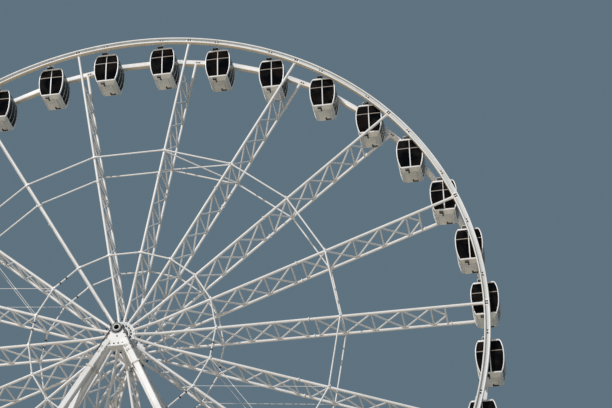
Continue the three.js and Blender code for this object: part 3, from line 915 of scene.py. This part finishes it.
# %% Heads
HEAD_Y, HEAD_HALF, HEAD_TOP, HEAD_SHOULDER, HEAD_BOTTOM = 1.15, 0.1, 0.09, -0.02, -0.65
SADDLE_R, ARM_X, BASE_X, BEARING_BOTTOM = 0.1732, 0.215, 0.46, -0.06
SADDLE_LINER, LINER_REACH, LINER_GREY = 0.042, 0.006, 2
FOOT_X, FOOT_Y = 0.50, 0.15
HEAD_BOLT, MIDDLE_BOLT = (0.018, 0.022), (0.02, -0.30)
PAIRED_BOLTS = ((0.19, -0.02), (0.24, -0.20), (0.31, -0.36), (0.20, -0.55), (0.07, -0.55), (0.37, -0.52))
DUCT = ((0.205, 0.0, -0.07), (0.495, 0.045, -0.60), (0.595, 0.105, -0.80))  # across, forward and up
DUCT_HALF = 0.014
saddle_turn = np.linspace(math.pi, 2 * math.pi, 17)
SADDLE_ARC = np.stack([np.cos(saddle_turn), np.sin(saddle_turn)], -1)


def band(inner, outer, side, half, bevel):
    """A plate between two lines of (x, z) points at the hub, bevelled along both borders of its faces."""
    step = bevel * unit(outer - inner)
    x, z = np.stack([inner, inner + step, outer - step, outer]).transpose(2, 0, 1)
    reach = np.broadcast_to((half - np.array([bevel, 0, 0, bevel]))[:, None], x.shape)
    near, far = (np.stack([x, side * HEAD_Y + sign * reach, HUB[2] + z], -1) for sign in (-1, 1))
    return slab(near, far)


def head_outline():
    """Two lines of points in pairs, from left to right: round the saddle, and along the outline below it."""
    edge = np.linspace((ARM_X, HEAD_SHOULDER), (BASE_X, HEAD_BOTTOM), 6)
    base = np.linspace((BASE_X, HEAD_BOTTOM), (-BASE_X, HEAD_BOTTOM), 7)[1:-1]
    inner = np.vstack([[-SADDLE_R, HEAD_TOP], SADDLE_R * SADDLE_ARC, [SADDLE_R, HEAD_TOP]])
    outer = np.vstack([[-ARM_X, HEAD_TOP], edge * (-1, 1), base[::-1], edge[::-1], [ARM_X, HEAD_TOP]])
    return inner, outer


def fork(side):
    """The head's plate, dark where it is beside the axle, and the liner of its saddle."""
    points, faces, _ = band(*head_outline(), side, HEAD_HALF, 0.012)
    beside_axle = points[faces[:, :3]].mean(axis=1)[:, 2] > HUB[2] + BEARING_BOTTOM
    saddle, outside = (radius * SADDLE_ARC for radius in (SADDLE_R, SADDLE_R + SADDLE_LINER))
    liner = band(saddle, outside, side, HEAD_HALF + LINER_REACH, 0.004)
    return joined((points, faces, np.where(beside_axle, DARK, 0)), finished_as(liner, LINER_GREY))


def head_bolts(side):
    """One bolt in the middle of the outer face and six on either side of it."""
    places = [MIDDLE_BOLT] + [(sign * x, z) for x, z in PAIRED_BOLTS for sign in (-1, 1)]
    spots = [(x, side * (HEAD_Y + HEAD_HALF), HUB[2] + z) for x, z in places]
    return finished_as(copies(bolt_head(*HEAD_BOLT), spots, OUTWARD[side]), DARK)


def ducts():
    """A square duct down each edge of the front head: bars from point to point of a mirrored route."""
    face = -(HEAD_Y + HEAD_HALF) - DUCT_HALF
    route = [np.array([(sign * x, face - forward, HUB[2] + z) for sign in (-1, 1)])
             for x, forward, z in DUCT]
    bars = [beams(start, end, DUCT_HALF, DUCT_HALF, (0, 1, 0)) for start, end in zip(route, route[1:])]
    return finished_as(joined(*bars), DARK)


for word, side in (("front", FRONT), ("rear", REAR)):
    foot_z = HUB[2] + HEAD_BOTTOM
    foot = boxes(box_at(0, side * HEAD_Y, FOOT_X, FOOT_Y, foot_z - 0.012, foot_z + 0.018), bevel=0.006)
    extras = [ducts()] if side == FRONT else []
    piece(f"{word}_axle_head", joined(fork(side), foot, head_bolts(side), *extras),
          ["white_steel", "dark_trim", "base_grey"], "stand", "frame_paint", f"{word}_head")
print("each head has", 1 + 2 * len(PAIRED_BOLTS), "bolts")

# %% Legs
LEG_TOP, LEG_SLOPE_X, SKID_TOP = -0.345, 0.472, 0.30
LEG_FALL = HUB[2] + LEG_TOP - SKID_TOP
OUTER, INNER = (0.23, 0.269), (0.165, 0.071)  # start in x, slope in y
LEG_HALF, LEG_START = 0.098, 0.05
FIRST_JOINT, JOINT_STEP, PLATE_SHIFT = 1.06, 3.85, 0.014
SPLICE_PLATE = (0.011, 0.135, 0.128)  # half thickness, half width, half depth
SPLICE_NUTS = [(u, v) for u in (-0.118, 0.118) for v in (-0.08, 0, 0.08)]
COLLARS, COLLAR_HALF = (0.355, 0.535), 0.108
COLLAR_STUDS = [(u, COLLAR_HALF - 0.012) for u in (-0.085, -0.03, 0.085)]
NUT_R, NUT_HEIGHT, NUT_FACE = 0.013, 0.016, 0.025
FOOT_PLATE, FOOT_PLATE_LOW, FOOT_PLATE_TOP = (0.19, 0.20), SKID_TOP + 0.001, SKID_TOP + 0.025
FOOT_BOLT, FOOT_BOLTS = (0.016, 0.020), [(u, v) for u in (-0.155, 0.155) for v in (-0.165, 0, 0.165)]
RUNG_FALLS, RUNG_R = np.arange(3.2, 12.9, 1.6), 0.03


def leg_points(side_x, side_y, tube, falls):
    """A leg's centre line: it moves out by its slopes for each metre that it falls."""
    start_x, slope_y = tube
    falls = np.asarray(falls, float)
    return np.stack([side_x * (start_x + LEG_SLOPE_X * falls), side_y * (HEAD_Y + slope_y * falls),
                     HUB[2] + LEG_TOP - falls], -1)


def leg_tube(side_x, side_y, tube):
    """A square tube with two bolted plates at each joint, and on an outer leg two collars with studs."""
    start, end = leg_points(side_x, side_y, tube, (LEG_START, LEG_FALL))
    run = unit(end - start)
    cross = unit(np.cross((0, side_y, 0), run))
    outward = np.cross(run, cross)
    head = bolt_head(NUT_R, NUT_HEIGHT)
    nut = joined(moved(head, (0, 0, NUT_FACE)), moved(head, (0, 0, -NUT_FACE - NUT_HEIGHT)))

    def plates(middles, half, half_width, half_depth, bevel):
        """Plates square to the run: each goes from its middle - half run to its middle + half run."""
        return beams(middles - half * run, middles + half * run, half_width, half_depth,
                     (0, side_y, 0), bevel)

    def nuts(middles, offsets):
        """A pair of nuts at each middle + u cross + v outward, one on either face of the plates."""
        spots = [middle + u * cross + v * outward for middle in middles for u, v in offsets]
        return finished_as(copies(nut, spots, np.stack([cross, outward, run], -1)), DARK)

    joints = leg_points(side_x, side_y, tube, np.arange(FIRST_JOINT, LEG_FALL - 0.5, JOINT_STEP))
    parts = [beams(start, end, LEG_HALF, LEG_HALF, (0, side_y, 0), 0.022), nuts(joints, SPLICE_NUTS)]
    parts += [plates(joints + sign * PLATE_SHIFT * run, *SPLICE_PLATE, 0.004) for sign in (-1, 1)]
    if tube == OUTER:
        rings = leg_points(side_x, side_y, tube, COLLARS)
        parts += [plates(rings, 0.008, COLLAR_HALF, COLLAR_HALF, 0.003), nuts(rings, COLLAR_STUDS)]
    return joined(*parts)


def lacing(side_x, side_y):
    """Rungs and diagonals between the two tubes of a pair, from where there is room between them."""
    outer, inner = (leg_points(side_x, side_y, tube, RUNG_FALLS) for tube in (OUTER, INNER))
    return tubes(np.vstack([outer, outer[:-1]]), np.vstack([inner, inner[1:]]), RUNG_R, 10)


def leg_feet(side_x, side_y):
    """A base plate under each tube, with three bolts on either side of it."""
    plates, spots = [], []
    for tube in (OUTER, INNER):
        x, y, _ = leg_points(side_x, side_y, tube, LEG_FALL)
        plates.append(box_at(x, y, *FOOT_PLATE, FOOT_PLATE_LOW, FOOT_PLATE_TOP))
        spots += [(x + u, y + v, FOOT_PLATE_TOP) for u, v in FOOT_BOLTS]
    return joined(boxes(*plates), finished_as(copies(bolt_head(*FOOT_BOLT), spots), DARK))


for word_y, side_y in (("front", FRONT), ("rear", REAR)):
    for word_x, side_x in (("left", -1), ("right", 1)):
        pair = joined(leg_tube(side_x, side_y, OUTER), leg_tube(side_x, side_y, INNER),
                      lacing(side_x, side_y), leg_feet(side_x, side_y))
        piece(f"{word_y}_{word_x}_leg_tubes", pair, ["white_steel", "dark_trim"], "stand", "frame_paint",
              f"{word_y}_{word_x}_legs")
print("legs stand", round(2 * leg_points(1, 1, OUTER, LEG_FALL)[0], 2), "m apart")

# %% [markdown]
# ## The ground frame
#
# A wheel that travels has no foundation. It stands on two long steel skids, tied together under the
# platform, and the skids are box girders with flanges and ribs. This part of the real wheel is outside the
# photograph, so it is plain.

# %% Skids and ties
SKID_X, SKID_HALF_X, SKID_HALF_Y = 6.3448, 0.21, 5.0
TIE_X, TIE_Y, TIE_HALF, TIE_LOW, TIE_TOP = SKID_X - 0.16, 2.07, 0.15, 0.004, 0.26
RIB_Y, RIB_LOW, RIB_TOP = np.arange(-4.8, 4.9, 0.6), 0.03, 0.27
END_INSET = 0.012
SKID_BOLT, SKID_ZINC = (0.018, 0.022), 1


def girder(x, y, half_x, half_y, low, high, plate, inset_x, inset_y):
    """Two flanges and a web box between them, set in from the flanges' edges."""
    return [box_at(x, y, half_x, half_y, low, low + plate), box_at(x, y, half_x, half_y, high - plate, high),
            box_at(x, y, half_x - inset_x, half_y - inset_y, low + plate, high - plate)]


def ground_frame():
    """Two skids with ribs and bolts, and two ties between them with an upright plate at each end."""
    blocks, spots = [], []
    for side in (-1, 1):
        x, y = side * SKID_X, side * TIE_Y
        blocks += girder(x, 0, SKID_HALF_X, SKID_HALF_Y, 0, SKID_TOP, 0.03, 0.06, END_INSET)
        blocks += girder(0, y, TIE_X, TIE_HALF, TIE_LOW, TIE_TOP, 0.025, END_INSET, 0.05)
        for end in (-1, 1):
            rib_x = x + end * (SKID_HALF_X - 0.035)
            blocks += [box_at(rib_x, rib_y, 0.027, 0.008, RIB_LOW, RIB_TOP) for rib_y in RIB_Y]
            blocks.append(box_at(end * (SKID_X - 0.17), y, 0.04, 0.2, RIB_LOW, RIB_TOP))
        spots += [(x + u, v, SKID_TOP) for u in (-0.17, 0.17) for v in (-4.85, -4.55, 4.55, 4.85)]
    bolts = copies(bolt_head(*SKID_BOLT), spots)
    return joined(boxes(*blocks, bevel=0.005), finished_as(bolts, SKID_ZINC))


piece("ground_frame", ground_frame(), ["base_grey", "zinc"], "stand", "base_paint", "base_frame")
print("each skid has", 2 * len(RIB_Y), "ribs")

# %% [markdown]
# ## The boarding platform
#
# People step into the cabins from a deck of ribbed aluminium planks. The planks lie across the deck on
# joists, the steps have a nose, and the rails and their posts are round tubes.

# %% Platform
DECK_X, DECK_FRONT, DECK_BACK, DECK_TOP = 4.6, -3.2, 1.85, 0.64
DECK_Y, DECK_HALF_Y = (DECK_FRONT + DECK_BACK) / 2, (DECK_BACK - DECK_FRONT) / 2
DECK_LOW, BORDER, BORDER_HALF = DECK_TOP - 0.06, 0.03, 0.014
PLANK_STEP, PLANK_HALF = 0.1925, 0.09425
JOIST_X = np.linspace(-4.2, 4.2, 9)
STEP_COUNT, STEP_RISE, STEP_TREAD, STEP_HALF = 7, 0.08, 0.15, 1.2
RAIL_TOP, RAIL_MIDDLE, RAIL_INSET, RAIL_R = DECK_TOP + 0.55, DECK_TOP + 0.255, 0.06, 0.019
POST_SPACING = 1.15
DECK_GREY, DECK_ZINC = 1, 2


def deck_planks():
    """Planks of a fifth of a metre, a few millimetres apart, inside a border of channel."""
    starts = np.arange(DECK_FRONT + BORDER, DECK_BACK - BORDER, PLANK_STEP)[:-1]
    planks = [box_at(0, y + PLANK_HALF, DECK_X - BORDER, PLANK_HALF, DECK_TOP - 0.03, DECK_TOP)
              for y in starts]
    border = []
    for side in (-1, 1):
        end_x, end_y = side * (DECK_X - BORDER_HALF), DECK_Y + side * (DECK_HALF_Y - BORDER_HALF)
        border.append(box_at(0, end_y, DECK_X, BORDER_HALF, DECK_LOW, DECK_TOP))
        border.append(box_at(end_x, DECK_Y, BORDER_HALF, DECK_HALF_Y - BORDER, DECK_LOW, DECK_TOP))
    return joined(boxes(*planks), finished_as(boxes(*border), DECK_GREY))


def deck_frame():
    """Joists below the planks, and six posts on foot plates."""
    parts = [box_at(x, DECK_Y, 0.02, DECK_HALF_Y - BORDER, DECK_LOW, DECK_TOP - 0.031) for x in JOIST_X]
    for x in (-DECK_X + 0.1, 0, DECK_X - 0.1):
        for y in (DECK_FRONT + 0.1, DECK_BACK - 0.1):
            parts += [box_at(x, y, 0.05, 0.05, 0.01, DECK_LOW), box_at(x, y, 0.09, 0.09, 0, 0.015)]
    return finished_as(boxes(*parts), DECK_GREY)


def flight():
    """Treads with a nose, and a stringer at each side that follows the steps."""
    start = DECK_FRONT - STEP_COUNT * STEP_TREAD + 0.015
    treads, walls = [], []
    for i in range(STEP_COUNT):
        y, z = start + i * STEP_TREAD, (i + 1) * STEP_RISE
        treads.append(((-STEP_HALF, y, z - 0.025), (STEP_HALF, y + STEP_TREAD + 0.02, z)))
        treads.append(((-STEP_HALF + 0.02, y + 0.012, z - STEP_RISE), (STEP_HALF - 0.02, y + 0.02, z - 0.02)))
        for x in (-STEP_HALF + 0.02, STEP_HALF - 0.02):
            walls.append(((x - 0.015, y + 0.012, 0), (x + 0.015, y + STEP_TREAD + 0.013, z - 0.024)))
    return joined(boxes(*treads), finished_as(boxes(*walls, bevel=0.002), DECK_GREY))


def railing():
    """Round rails at hand height and half way, on posts, with the gap left open above the steps."""
    side_x, front, back = DECK_X - RAIL_INSET, DECK_FRONT + RAIL_INSET, DECK_BACK - RAIL_INSET
    gap = STEP_HALF + RAIL_INSET
    corners = np.array([(-gap, front), (-side_x, front), (-side_x, back),
                        (side_x, back), (side_x, front), (gap, front)])
    rails = [np.column_stack([corners, np.full(len(corners), z)]) for z in (RAIL_TOP, RAIL_MIDDLE)]
    spots = []
    for start, end in zip(corners, corners[1:]):
        count = max(2, round(math.dist(start, end) / POST_SPACING) + 1)
        spots.append(np.linspace(start, end, count))
    posts = np.unique(np.concatenate(spots).round(4), axis=0)
    low, high = (np.column_stack([posts, np.full(len(posts), z)]) for z in (DECK_TOP - 0.01, RAIL_TOP))
    kick_top, middle, half = DECK_TOP + 0.08, (front + back) / 2, (back - front) / 2
    kick = [box_at(0, back, side_x, 0.004, DECK_TOP, kick_top)]
    kick += [box_at(x, middle, 0.004, half, DECK_TOP, kick_top) for x in (-side_x, side_x)]
    runs = [tubes(rail[:-1], rail[1:], RAIL_R) for rail in rails]
    posts = tubes(low, high, RAIL_R - 0.001)
    return finished_as(joined(*runs, posts, boxes(*kick, bevel=0.002)), DECK_ZINC)


piece("deck_and_steps", joined(deck_planks(), deck_frame(), flight(), railing()),
      ["decking", "base_grey", "zinc"], "stand", "decking", "boarding_platform")
print("deck", 2 * DECK_X, "m wide and", round(2 * DECK_HALF_Y, 2), "m deep")

# %% [markdown]
# ## The drives
#
# The wheel is turned by rubber tyres that press against the side of the rear rim near the lowest point. Each
# tyre lies flat on the shaft of a small geared motor, on top of a post.

# %% Drive units
DRIVE_X, TYRE_R, TYRE_BORE, TYRE_H = 2.5, 0.15, 0.075, 0.12
DRIVE_BACK, POST_HALF, PLATE_THICK = 1.15, 0.11, 0.02
STUDS, STUDS_R, STUD = 5, 0.055, (0.010, 0.012)
POST_FOOT, CHEEK_X, TRAY_THICK = 0.16, 0.1, 0.04
POST_DROP, CHEEK_LOW, CHEEK_TOP = 0.095, 0.15, 0.05  # measured down from the tyre's lower side
DRIVE_GREY, DRIVE_RUBBER, DRIVE_ZINC = 1, 2, 3
RIM_LOW = HUB[2] - math.sqrt(REAR_RIM["radius"] ** 2 - DRIVE_X ** 2)
TYRE_Y = REAR_RIM["y"] + REAR_RIM["half_width"] + 0.006 + TYRE_R
MOTOR = [(0.07, -0.46), (0.085, -0.45), (0.085, -0.24), (0.1, -0.23), (0.1, -0.19)]


def drive_turned():
    """The motor with its fins, the tyre, and the disc, shaft and studs that carry it, all round Z."""
    fins = [turned([(0.094, z), (0.094, z + 0.008)], 28) for z in np.arange(-0.43, -0.26, 0.022)]
    tyre = turned(softened(wall(TYRE_BORE, TYRE_R, 0.0, TYRE_H), 0.02, 3), 32, hollow=True)
    disc = turned([(0.074, 0.02), (0.074, 0.1)], 24)
    shaft = turned([(0.04, -0.1), (0.04, 0.115), (0.03, 0.12)], 20)
    a = 2 * math.pi * np.arange(STUDS) / STUDS
    spots = np.stack([STUDS_R * np.cos(a), STUDS_R * np.sin(a), np.full(STUDS, 0.1)], -1)
    studs = copies(bolt_head(*STUD), spots)
    return joined(finished_as(joined(turned(MOTOR, 28), *fins), DRIVE_GREY), finished_as(tyre, DRIVE_RUBBER),
                  finished_as(joined(disc, shaft, studs), DRIVE_ZINC))


def drive(side):
    """A post and a bracket of four plates round the motor, whose tyre runs 6 mm beside the rim."""
    x, under = side * DRIVE_X, RIM_LOW - TYRE_H / 2
    middle, half = (TYRE_Y - 0.06 + DRIVE_BACK) / 2, (DRIVE_BACK - TYRE_Y + 0.06) / 2
    post_y, low, high = DRIVE_BACK - POST_HALF, under - CHEEK_LOW, under - CHEEK_TOP
    cheeks = [box_at(x + shift, middle, PLATE_THICK / 2, half, low, high) for shift in (-CHEEK_X, CHEEK_X)]
    stand = boxes(box_at(x, post_y, POST_HALF, POST_HALF, DECK_TOP, under - POST_DROP),
                  box_at(x, post_y, POST_FOOT, POST_FOOT, DECK_TOP, DECK_TOP + PLATE_THICK),
                  box_at(x, middle, POST_HALF, half, low - TRAY_THICK, low), *cheeks,
                  box_at(x, middle, POST_HALF, half, high, high + PLATE_THICK), bevel=0.006)
    return joined(stand, moved(drive_turned(), (x, TYRE_Y, under)))


for word, side in (("left", -1), ("right", 1)):
    piece(f"{word}_drive_unit", drive(side), ["base_grey", "web_grey", "rubber", "zinc"],
          "stand", "drive_paint", f"{word}_drive")
print("tyres run at z =", round(RIM_LOW, 2))

# %% [markdown]
# ## Cabins
#
# A cabin is a moulded shell with glass nearly all round, hung from a pin between the two rims. The sides
# curve out to a widest line a little above the middle, and the floor is a tapered tub that shows from below.
# One form is built at the pivot, then put in each of the thirty-six places.

# %% Cabin profile
SILL_Z, SIDE_LOW, RAIL_Z, SIDE_TOP, FACE_TOP = -1.300, -1.265, -0.57, -0.26, -0.20
GLASS_TOP = FACE_TOP - 0.015
PROFILE = np.array([  # height, half width and half depth of the shell
    (-1.400, 0.252, 0.332), (-1.300, 0.322, 0.450), (-1.188, 0.368, 0.460), (-1.053, 0.404, 0.468),
    (-0.929, 0.424, 0.473), (-0.780, 0.435, 0.478), (-0.636, 0.436, 0.479), (-0.500, 0.428, 0.474),
    (-0.400, 0.411, 0.466), (-0.310, 0.388, 0.457), (-0.240, 0.360, 0.448), (-0.195, 0.334, 0.440)])


def half_x(z):
    """Half the shell's width at a height."""
    return np.interp(z, PROFILE[:, 0], PROFILE[:, 1])


def half_y(z):
    """Half the shell's depth at a height."""
    return np.interp(z, PROFILE[:, 0], PROFILE[:, 2])


def wall_heights(low, high, count):
    """Heights from low to high that include the profile's own heights between them."""
    own = PROFILE[:, 0]
    between = own[(own > low + 0.01) & (own < high - 0.01)]
    return np.unique(np.concatenate([np.linspace(low, high, count), between]))


print("a cabin's width and depth in metres:", *(2 * PROFILE[:, 1:].max(0)).round(2))

# %% Cabin frames and glass
FRAME_WIDE, FRAME_DEEP = 0.0145, 0.018
GLASS_THICK, GLASS_INSET, BULGE = 0.010, 0.022, 0.010
WHITE_POSTS = ((-0.97, 0.018), (0.92, 0.042))  # place along the side from -1 to 1, half width
LIGHT_POSTS = ((-0.3, 0.006), (0.32, 0.006))


def face_frame(side):
    """The white frame round the front or the rear face: a rounded bar along the face's outline."""
    z = wall_heights(SILL_Z + 0.01, FACE_TOP, 8)
    x = half_x(z) - FRAME_WIDE
    outline = np.concatenate([np.stack([x, z], -1), np.stack([-x[::-1], z[::-1]], -1)])
    tangent = unit(np.roll(outline, -1, 0) - np.roll(outline, 1, 0))
    out = np.stack([tangent[:, 1], np.zeros(len(outline)), -tangent[:, 0]], -1)
    path = np.stack([outline[:, 0], side * (half_y(outline[:, 1]) - FRAME_DEEP), outline[:, 1]], -1)
    return sweep(path, rectangle(FRAME_DEEP, FRAME_WIDE, 0.007, 2), (0, -1, 0), out, closed=True)


def face_glass(side):
    """Front or rear glazing: x = u (half_x - inset), y = half_y - inset + bulge (1 - u^2)."""
    z = wall_heights(SILL_Z + 0.025, GLASS_TOP, 9)
    u = np.linspace(-1, 1, 9)
    x = (half_x(z) - GLASS_INSET)[:, None] * u
    y = (half_y(z) - GLASS_INSET)[:, None] + BULGE * (1 - u ** 2)
    grid = np.stack([x, side * y, np.broadcast_to(z[:, None], x.shape)], -1)
    return slab(grid, grid - (0, side * GLASS_THICK, 0), mirrored=side > 0)


def side_panel(side, low, high, rows, columns, inset, thick):
    """A slab on the curved side: x = half_x - inset x, y = v (half_y - inset y), with v from -1 to 1."""
    z = wall_heights(low, high, rows)
    y = (half_y(z) - inset[1])[:, None] * np.linspace(-1, 1, columns)
    x, z = (np.broadcast_to(v[:, None], y.shape) for v in (half_x(z) - inset[0], z))
    grid = np.stack([side * x, y, z], -1)
    return slab(grid, grid - (side * thick, 0, 0), mirrored=side < 0)


def side_post(side, place, width):
    """An upright post swept along the side's curve, at a fraction of the depth."""
    z = wall_heights(SIDE_LOW - 0.005, SIDE_TOP + 0.01, 8)
    path = np.stack([side * (half_x(z) - 0.006), place * (half_y(z) - 0.03), z], -1)
    return sweep(path, rectangle(width, 0.010, 0.004, 1), (0, 1, 0), (1, 0, 0))


print("a cabin's front frame has", len(face_frame(FRONT)[1]), "faces")

# %% Cabin trim
SHELL_CORNER = 0.07


def mullion(low, high, half, lift):
    """An upright bar in the middle of the front, following its lean."""
    z = wall_heights(low, high, 5)
    path = np.stack([np.zeros(len(z)), -(half_y(z) - 0.012) - lift, z], -1)
    return sweep(path, rectangle(half, 0.007, 0.003, 1), (1, 0, 0), (0, -1, 0))


def cross_rail(side):
    """A level bar across a face, with the same bulge as the glass."""
    u = np.linspace(-1, 1, 9)
    y = half_y(RAIL_Z) - 0.018 + BULGE * (1 - u ** 2)
    path = np.stack([u * (half_x(RAIL_Z) - 0.02), side * y, np.full(len(u), RAIL_Z)], -1)
    return sweep(path, rectangle(0.008, 0.012, 0.003, 1), (0, -1, 0), (0, 0, 1))


def stacked(*rings):
    """Rounded rectangles of (height, half width, half depth, corner if any) joined in turn, flat-ended."""
    grid = []
    for z, half_width, half_depth, *corner in rings:
        outline = rectangle(half_width, half_depth, *(corner or [SHELL_CORNER]), 4)
        grid.append(np.column_stack([outline, np.full(len(outline), z)]))
    return form(np.concatenate(grid), ring_faces(len(grid), len(grid[0]), False))


def tub():
    """The floor tub: it tapers inwards below the sill and has a shallow hollow underneath."""
    return stacked((-1.388, 0.218, 0.292), (-1.394, 0.226, 0.302), (-1.400, 0.236, 0.314),
                   (-1.396, 0.250, 0.330), (-1.355, 0.286, 0.392), (-1.308, 0.316, 0.446),
                   (-1.292, 0.316, 0.446))


def sill():
    """A white band round the shell at the height of the floor, proud of the tub below it."""
    return stacked((-1.306, 0.320, 0.449), (-1.301, 0.325, 0.453),
                   (-1.268, 0.335, 0.456), (-1.262, 0.331, 0.451))


def roof():
    """A low dome of rounded rings, with a lip that stands proud of the glazing below it."""
    return stacked((-0.234, 0.345, 0.444), (-0.230, 0.352, 0.452), (-0.186, 0.342, 0.448),
                   (-0.172, 0.316, 0.424), (-0.156, 0.230, 0.320, 0.10), (-0.150, 0.120, 0.200, 0.09))


print("a cabin's roof has", len(roof()[1]), "faces")

# %% Roof, hanger and underside
ROOF_UNIT = (-0.085, -0.33, 0)
HANGER_FOOT, HANGER_HEAD, HANGER_LOW, HANGER_HIGH, HANGER_Y = 0.155, 0.052, -0.165, -0.004, 0.052


def roof_unit():
    """The ventilator at the front of the roof, left of the middle: a white hood with painted shade, dark
    blocks at its front and right.
    """
    hood = stacked(*((z, half, 0.10, 0.03) for z, half in ((-0.19, 0.112), (-0.066, 0.112), (-0.056, 0.104))))
    # dark blocks standing just proud of the hood's front and right side: painted shade for the hood's shaded
    # faces
    painted_shade_block = boxes(((-0.100, -0.106, -0.18), (0.098, 0.0, -0.072)),
                   ((0.0, -0.08, -0.18), (0.115, 0.08, -0.078)), bevel=0.003)
    return moved(hood, ROOF_UNIT), moved(painted_shade_block, ROOF_UNIT)


def hanger():
    """Two pairs of bars that spread from the pin's bearing to the roof, two cross plates, and the pin."""
    plates = [beams([(-HANGER_FOOT, y, HANGER_LOW), (HANGER_FOOT, y, HANGER_LOW)],
                    [(-HANGER_HEAD, y, HANGER_HIGH), (HANGER_HEAD, y, HANGER_HIGH)],
                    0.02, 0.007, (0, 1, 0), 0.003) for y in (-HANGER_Y, HANGER_Y)]
    cross = boxes(box_at(0, 0, 0.10, 0.05, -0.105, -0.092),
                  box_at(0, 0, HANGER_FOOT + 0.02, 0.07, -0.17, -0.148), bevel=0.003)
    bearing = moved(pipe(0.033, 0.055, 0.068, (0.003, 0.006), 24), turn=TO_REAR)
    pin = moved(turned([(0.031, -0.5485), (0.031, 0.5585)], 16), turn=TO_REAR)
    return [*plates, cross, bearing, pin]


def underside_marks():
    """Small black fittings under the floor: two in front and an angle at the back right; and three ribs."""
    marks = boxes(((-0.180, -0.436, -1.392), (-0.050, -0.365, -1.325)),
                  ((-0.090, -0.385, -1.412), (-0.050, -0.255, -1.350)),
                  ((0.00, 0.235, -1.414), (0.19, 0.288, -1.396)),
                  ((0.00, 0.15, -1.414), (0.042, 0.25, -1.396)), bevel=0.003)
    ribs = [box_at(x, -0.035, 0.004, 0.235, -1.406, -1.396) for x in (0.164, 0.194, 0.224)]
    return marks, boxes(*ribs, bevel=0.002)


def benches():
    """A bench with a back across the rear of the cabin, and a seat on either side in front of it."""
    sides = [box_at(side * 0.195, 0.04, 0.075, 0.14, -1.26, -1.06) for side in (-1, 1)]
    return boxes(box_at(0, 0.29, 0.27, 0.09, -1.26, -1.06), box_at(0, 0.38, 0.30, 0.02, -1.06, -0.80), *sides,
                 bevel=0.015)


print("the benches of a cabin have", len(benches()[1]), "faces")

# %% Hang the cabins
CABIN_FINISHES = ["cabin_white", "dark_trim", "tinted_glass", "underside", "bronze_trim"]
WHITE, GLASS, UNDER, BRONZE = 0, 2, 3, 4
SHELL_PANELS = ((SILL_Z, SIDE_LOW + 0.003), (SIDE_TOP - 0.005, FACE_TOP))  # below and above the side glass


def cabin():
    """Every part of a cabin whose pin lies at the origin, sorted by finish."""
    hood, painted_shade_block = roof_unit()
    marks, ribs = underside_marks()
    parts = {WHITE: [sill(), roof(), hood, *hanger(), mullion(SILL_Z + 0.02, RAIL_Z, 0.017, 0.008),
                     mullion(RAIL_Z, GLASS_TOP, 0.009, 0.004)],
             DARK: [painted_shade_block, marks, benches()], GLASS: [], UNDER: [tub(), ribs], BRONZE: []}
    for side in (-1, 1):  # front and left, then rear and right
        parts[WHITE] += [side_panel(side, low, high, 4, 5, (0, 0.012), 0.022) for low, high in SHELL_PANELS]
        parts[WHITE] += [face_frame(side), *(side_post(side, *post) for post in WHITE_POSTS)]
        parts[UNDER] += [side_post(side, *post) for post in LIGHT_POSTS]
        parts[GLASS] += [face_glass(side),
                         side_panel(side, SIDE_LOW, SIDE_TOP, 8, 7, (0.008, 0.045), GLASS_THICK)]
        parts[BRONZE].append(cross_rail(side))
    return joined(*(finished_as(part, finish) for finish, same in parts.items() for part in same))


CABIN = cabin()
for number, pivot in enumerate(at(PIVOT_R, CABIN_ANGLES, 0), 1):
    piece(f"gondola_{number:02d}", moved(CABIN, pivot), CABIN_FINISHES, f"cabin_{number:02d}", "cabin_shell",
          f"cabin_{number:02d}")
print("each cabin has", int((np.where(CABIN[1][:, 3] >= 0, 2, 1)).sum()), "triangles")

# %% [markdown]
# ## Floor and light
#
# The floor is a pale disc, because the camera stands below its level and must see past its edge. The sun
# comes from above and from the left of the camera, a pale sky fills the shadows, and a low warm lamp stands
# in for the sunlit ground that gives the undersides their tone.

# %% Floor
FLOOR_R, FLOOR_LOW, FLOOR_TOP = 20.0, -0.12, -0.004
pale = Finish("floor_pale")
tone = pale.ramp(pale.noise(0.4, 4.0), 0.35, 0.7)
pale.set(Base_Color=pale.mix(tone, rgb(0.72, 0.62, 0.49), rgb(0.66, 0.56, 0.43)), Roughness=tone * 0.1 + 0.75)
floor = mesh_object("floor", turned([(FLOOR_R, FLOOR_LOW), (FLOOR_R, FLOOR_TOP)], 96), ["floor_pale"])
print("floor of", len(floor.data.polygons), "faces")

# %% Light
def sun(name, direction, strength, colour, angle):
    """A sun lamp that shines along a direction, with the angle in degrees that it takes up in the sky."""
    lamp = bpy.data.lights.new(name, "SUN")
    lamp.energy, lamp.color, lamp.angle = strength, colour, math.radians(angle)
    thing = bpy.data.objects.new(name, lamp)
    bpy.context.scene.collection.objects.link(thing)
    thing.rotation_euler = Vector(direction).to_track_quat("-Z", "Y").to_euler()


sun("key", (0.40, 0.70, -0.59), 2.45, (1.0, 0.985, 0.98), 2.0)
sun("low_fill", (0.10, 0.80, 0.48), 0.95, (1.0, 0.84, 0.66), 25.0)
world = bpy.data.worlds.new("sky")
bpy.context.scene.world = world
world.use_nodes = True
sky = world.node_tree.nodes["Background"].inputs
sky["Color"].default_value = rgb(0.115, 0.170, 0.215)
sky["Strength"].default_value = 1.0
bpy.context.scene.view_settings.view_transform = "Standard"
bpy.context.scene.view_settings.look = "None"
print("lamps:", ", ".join(sorted(lamp.name for lamp in bpy.data.lights)))
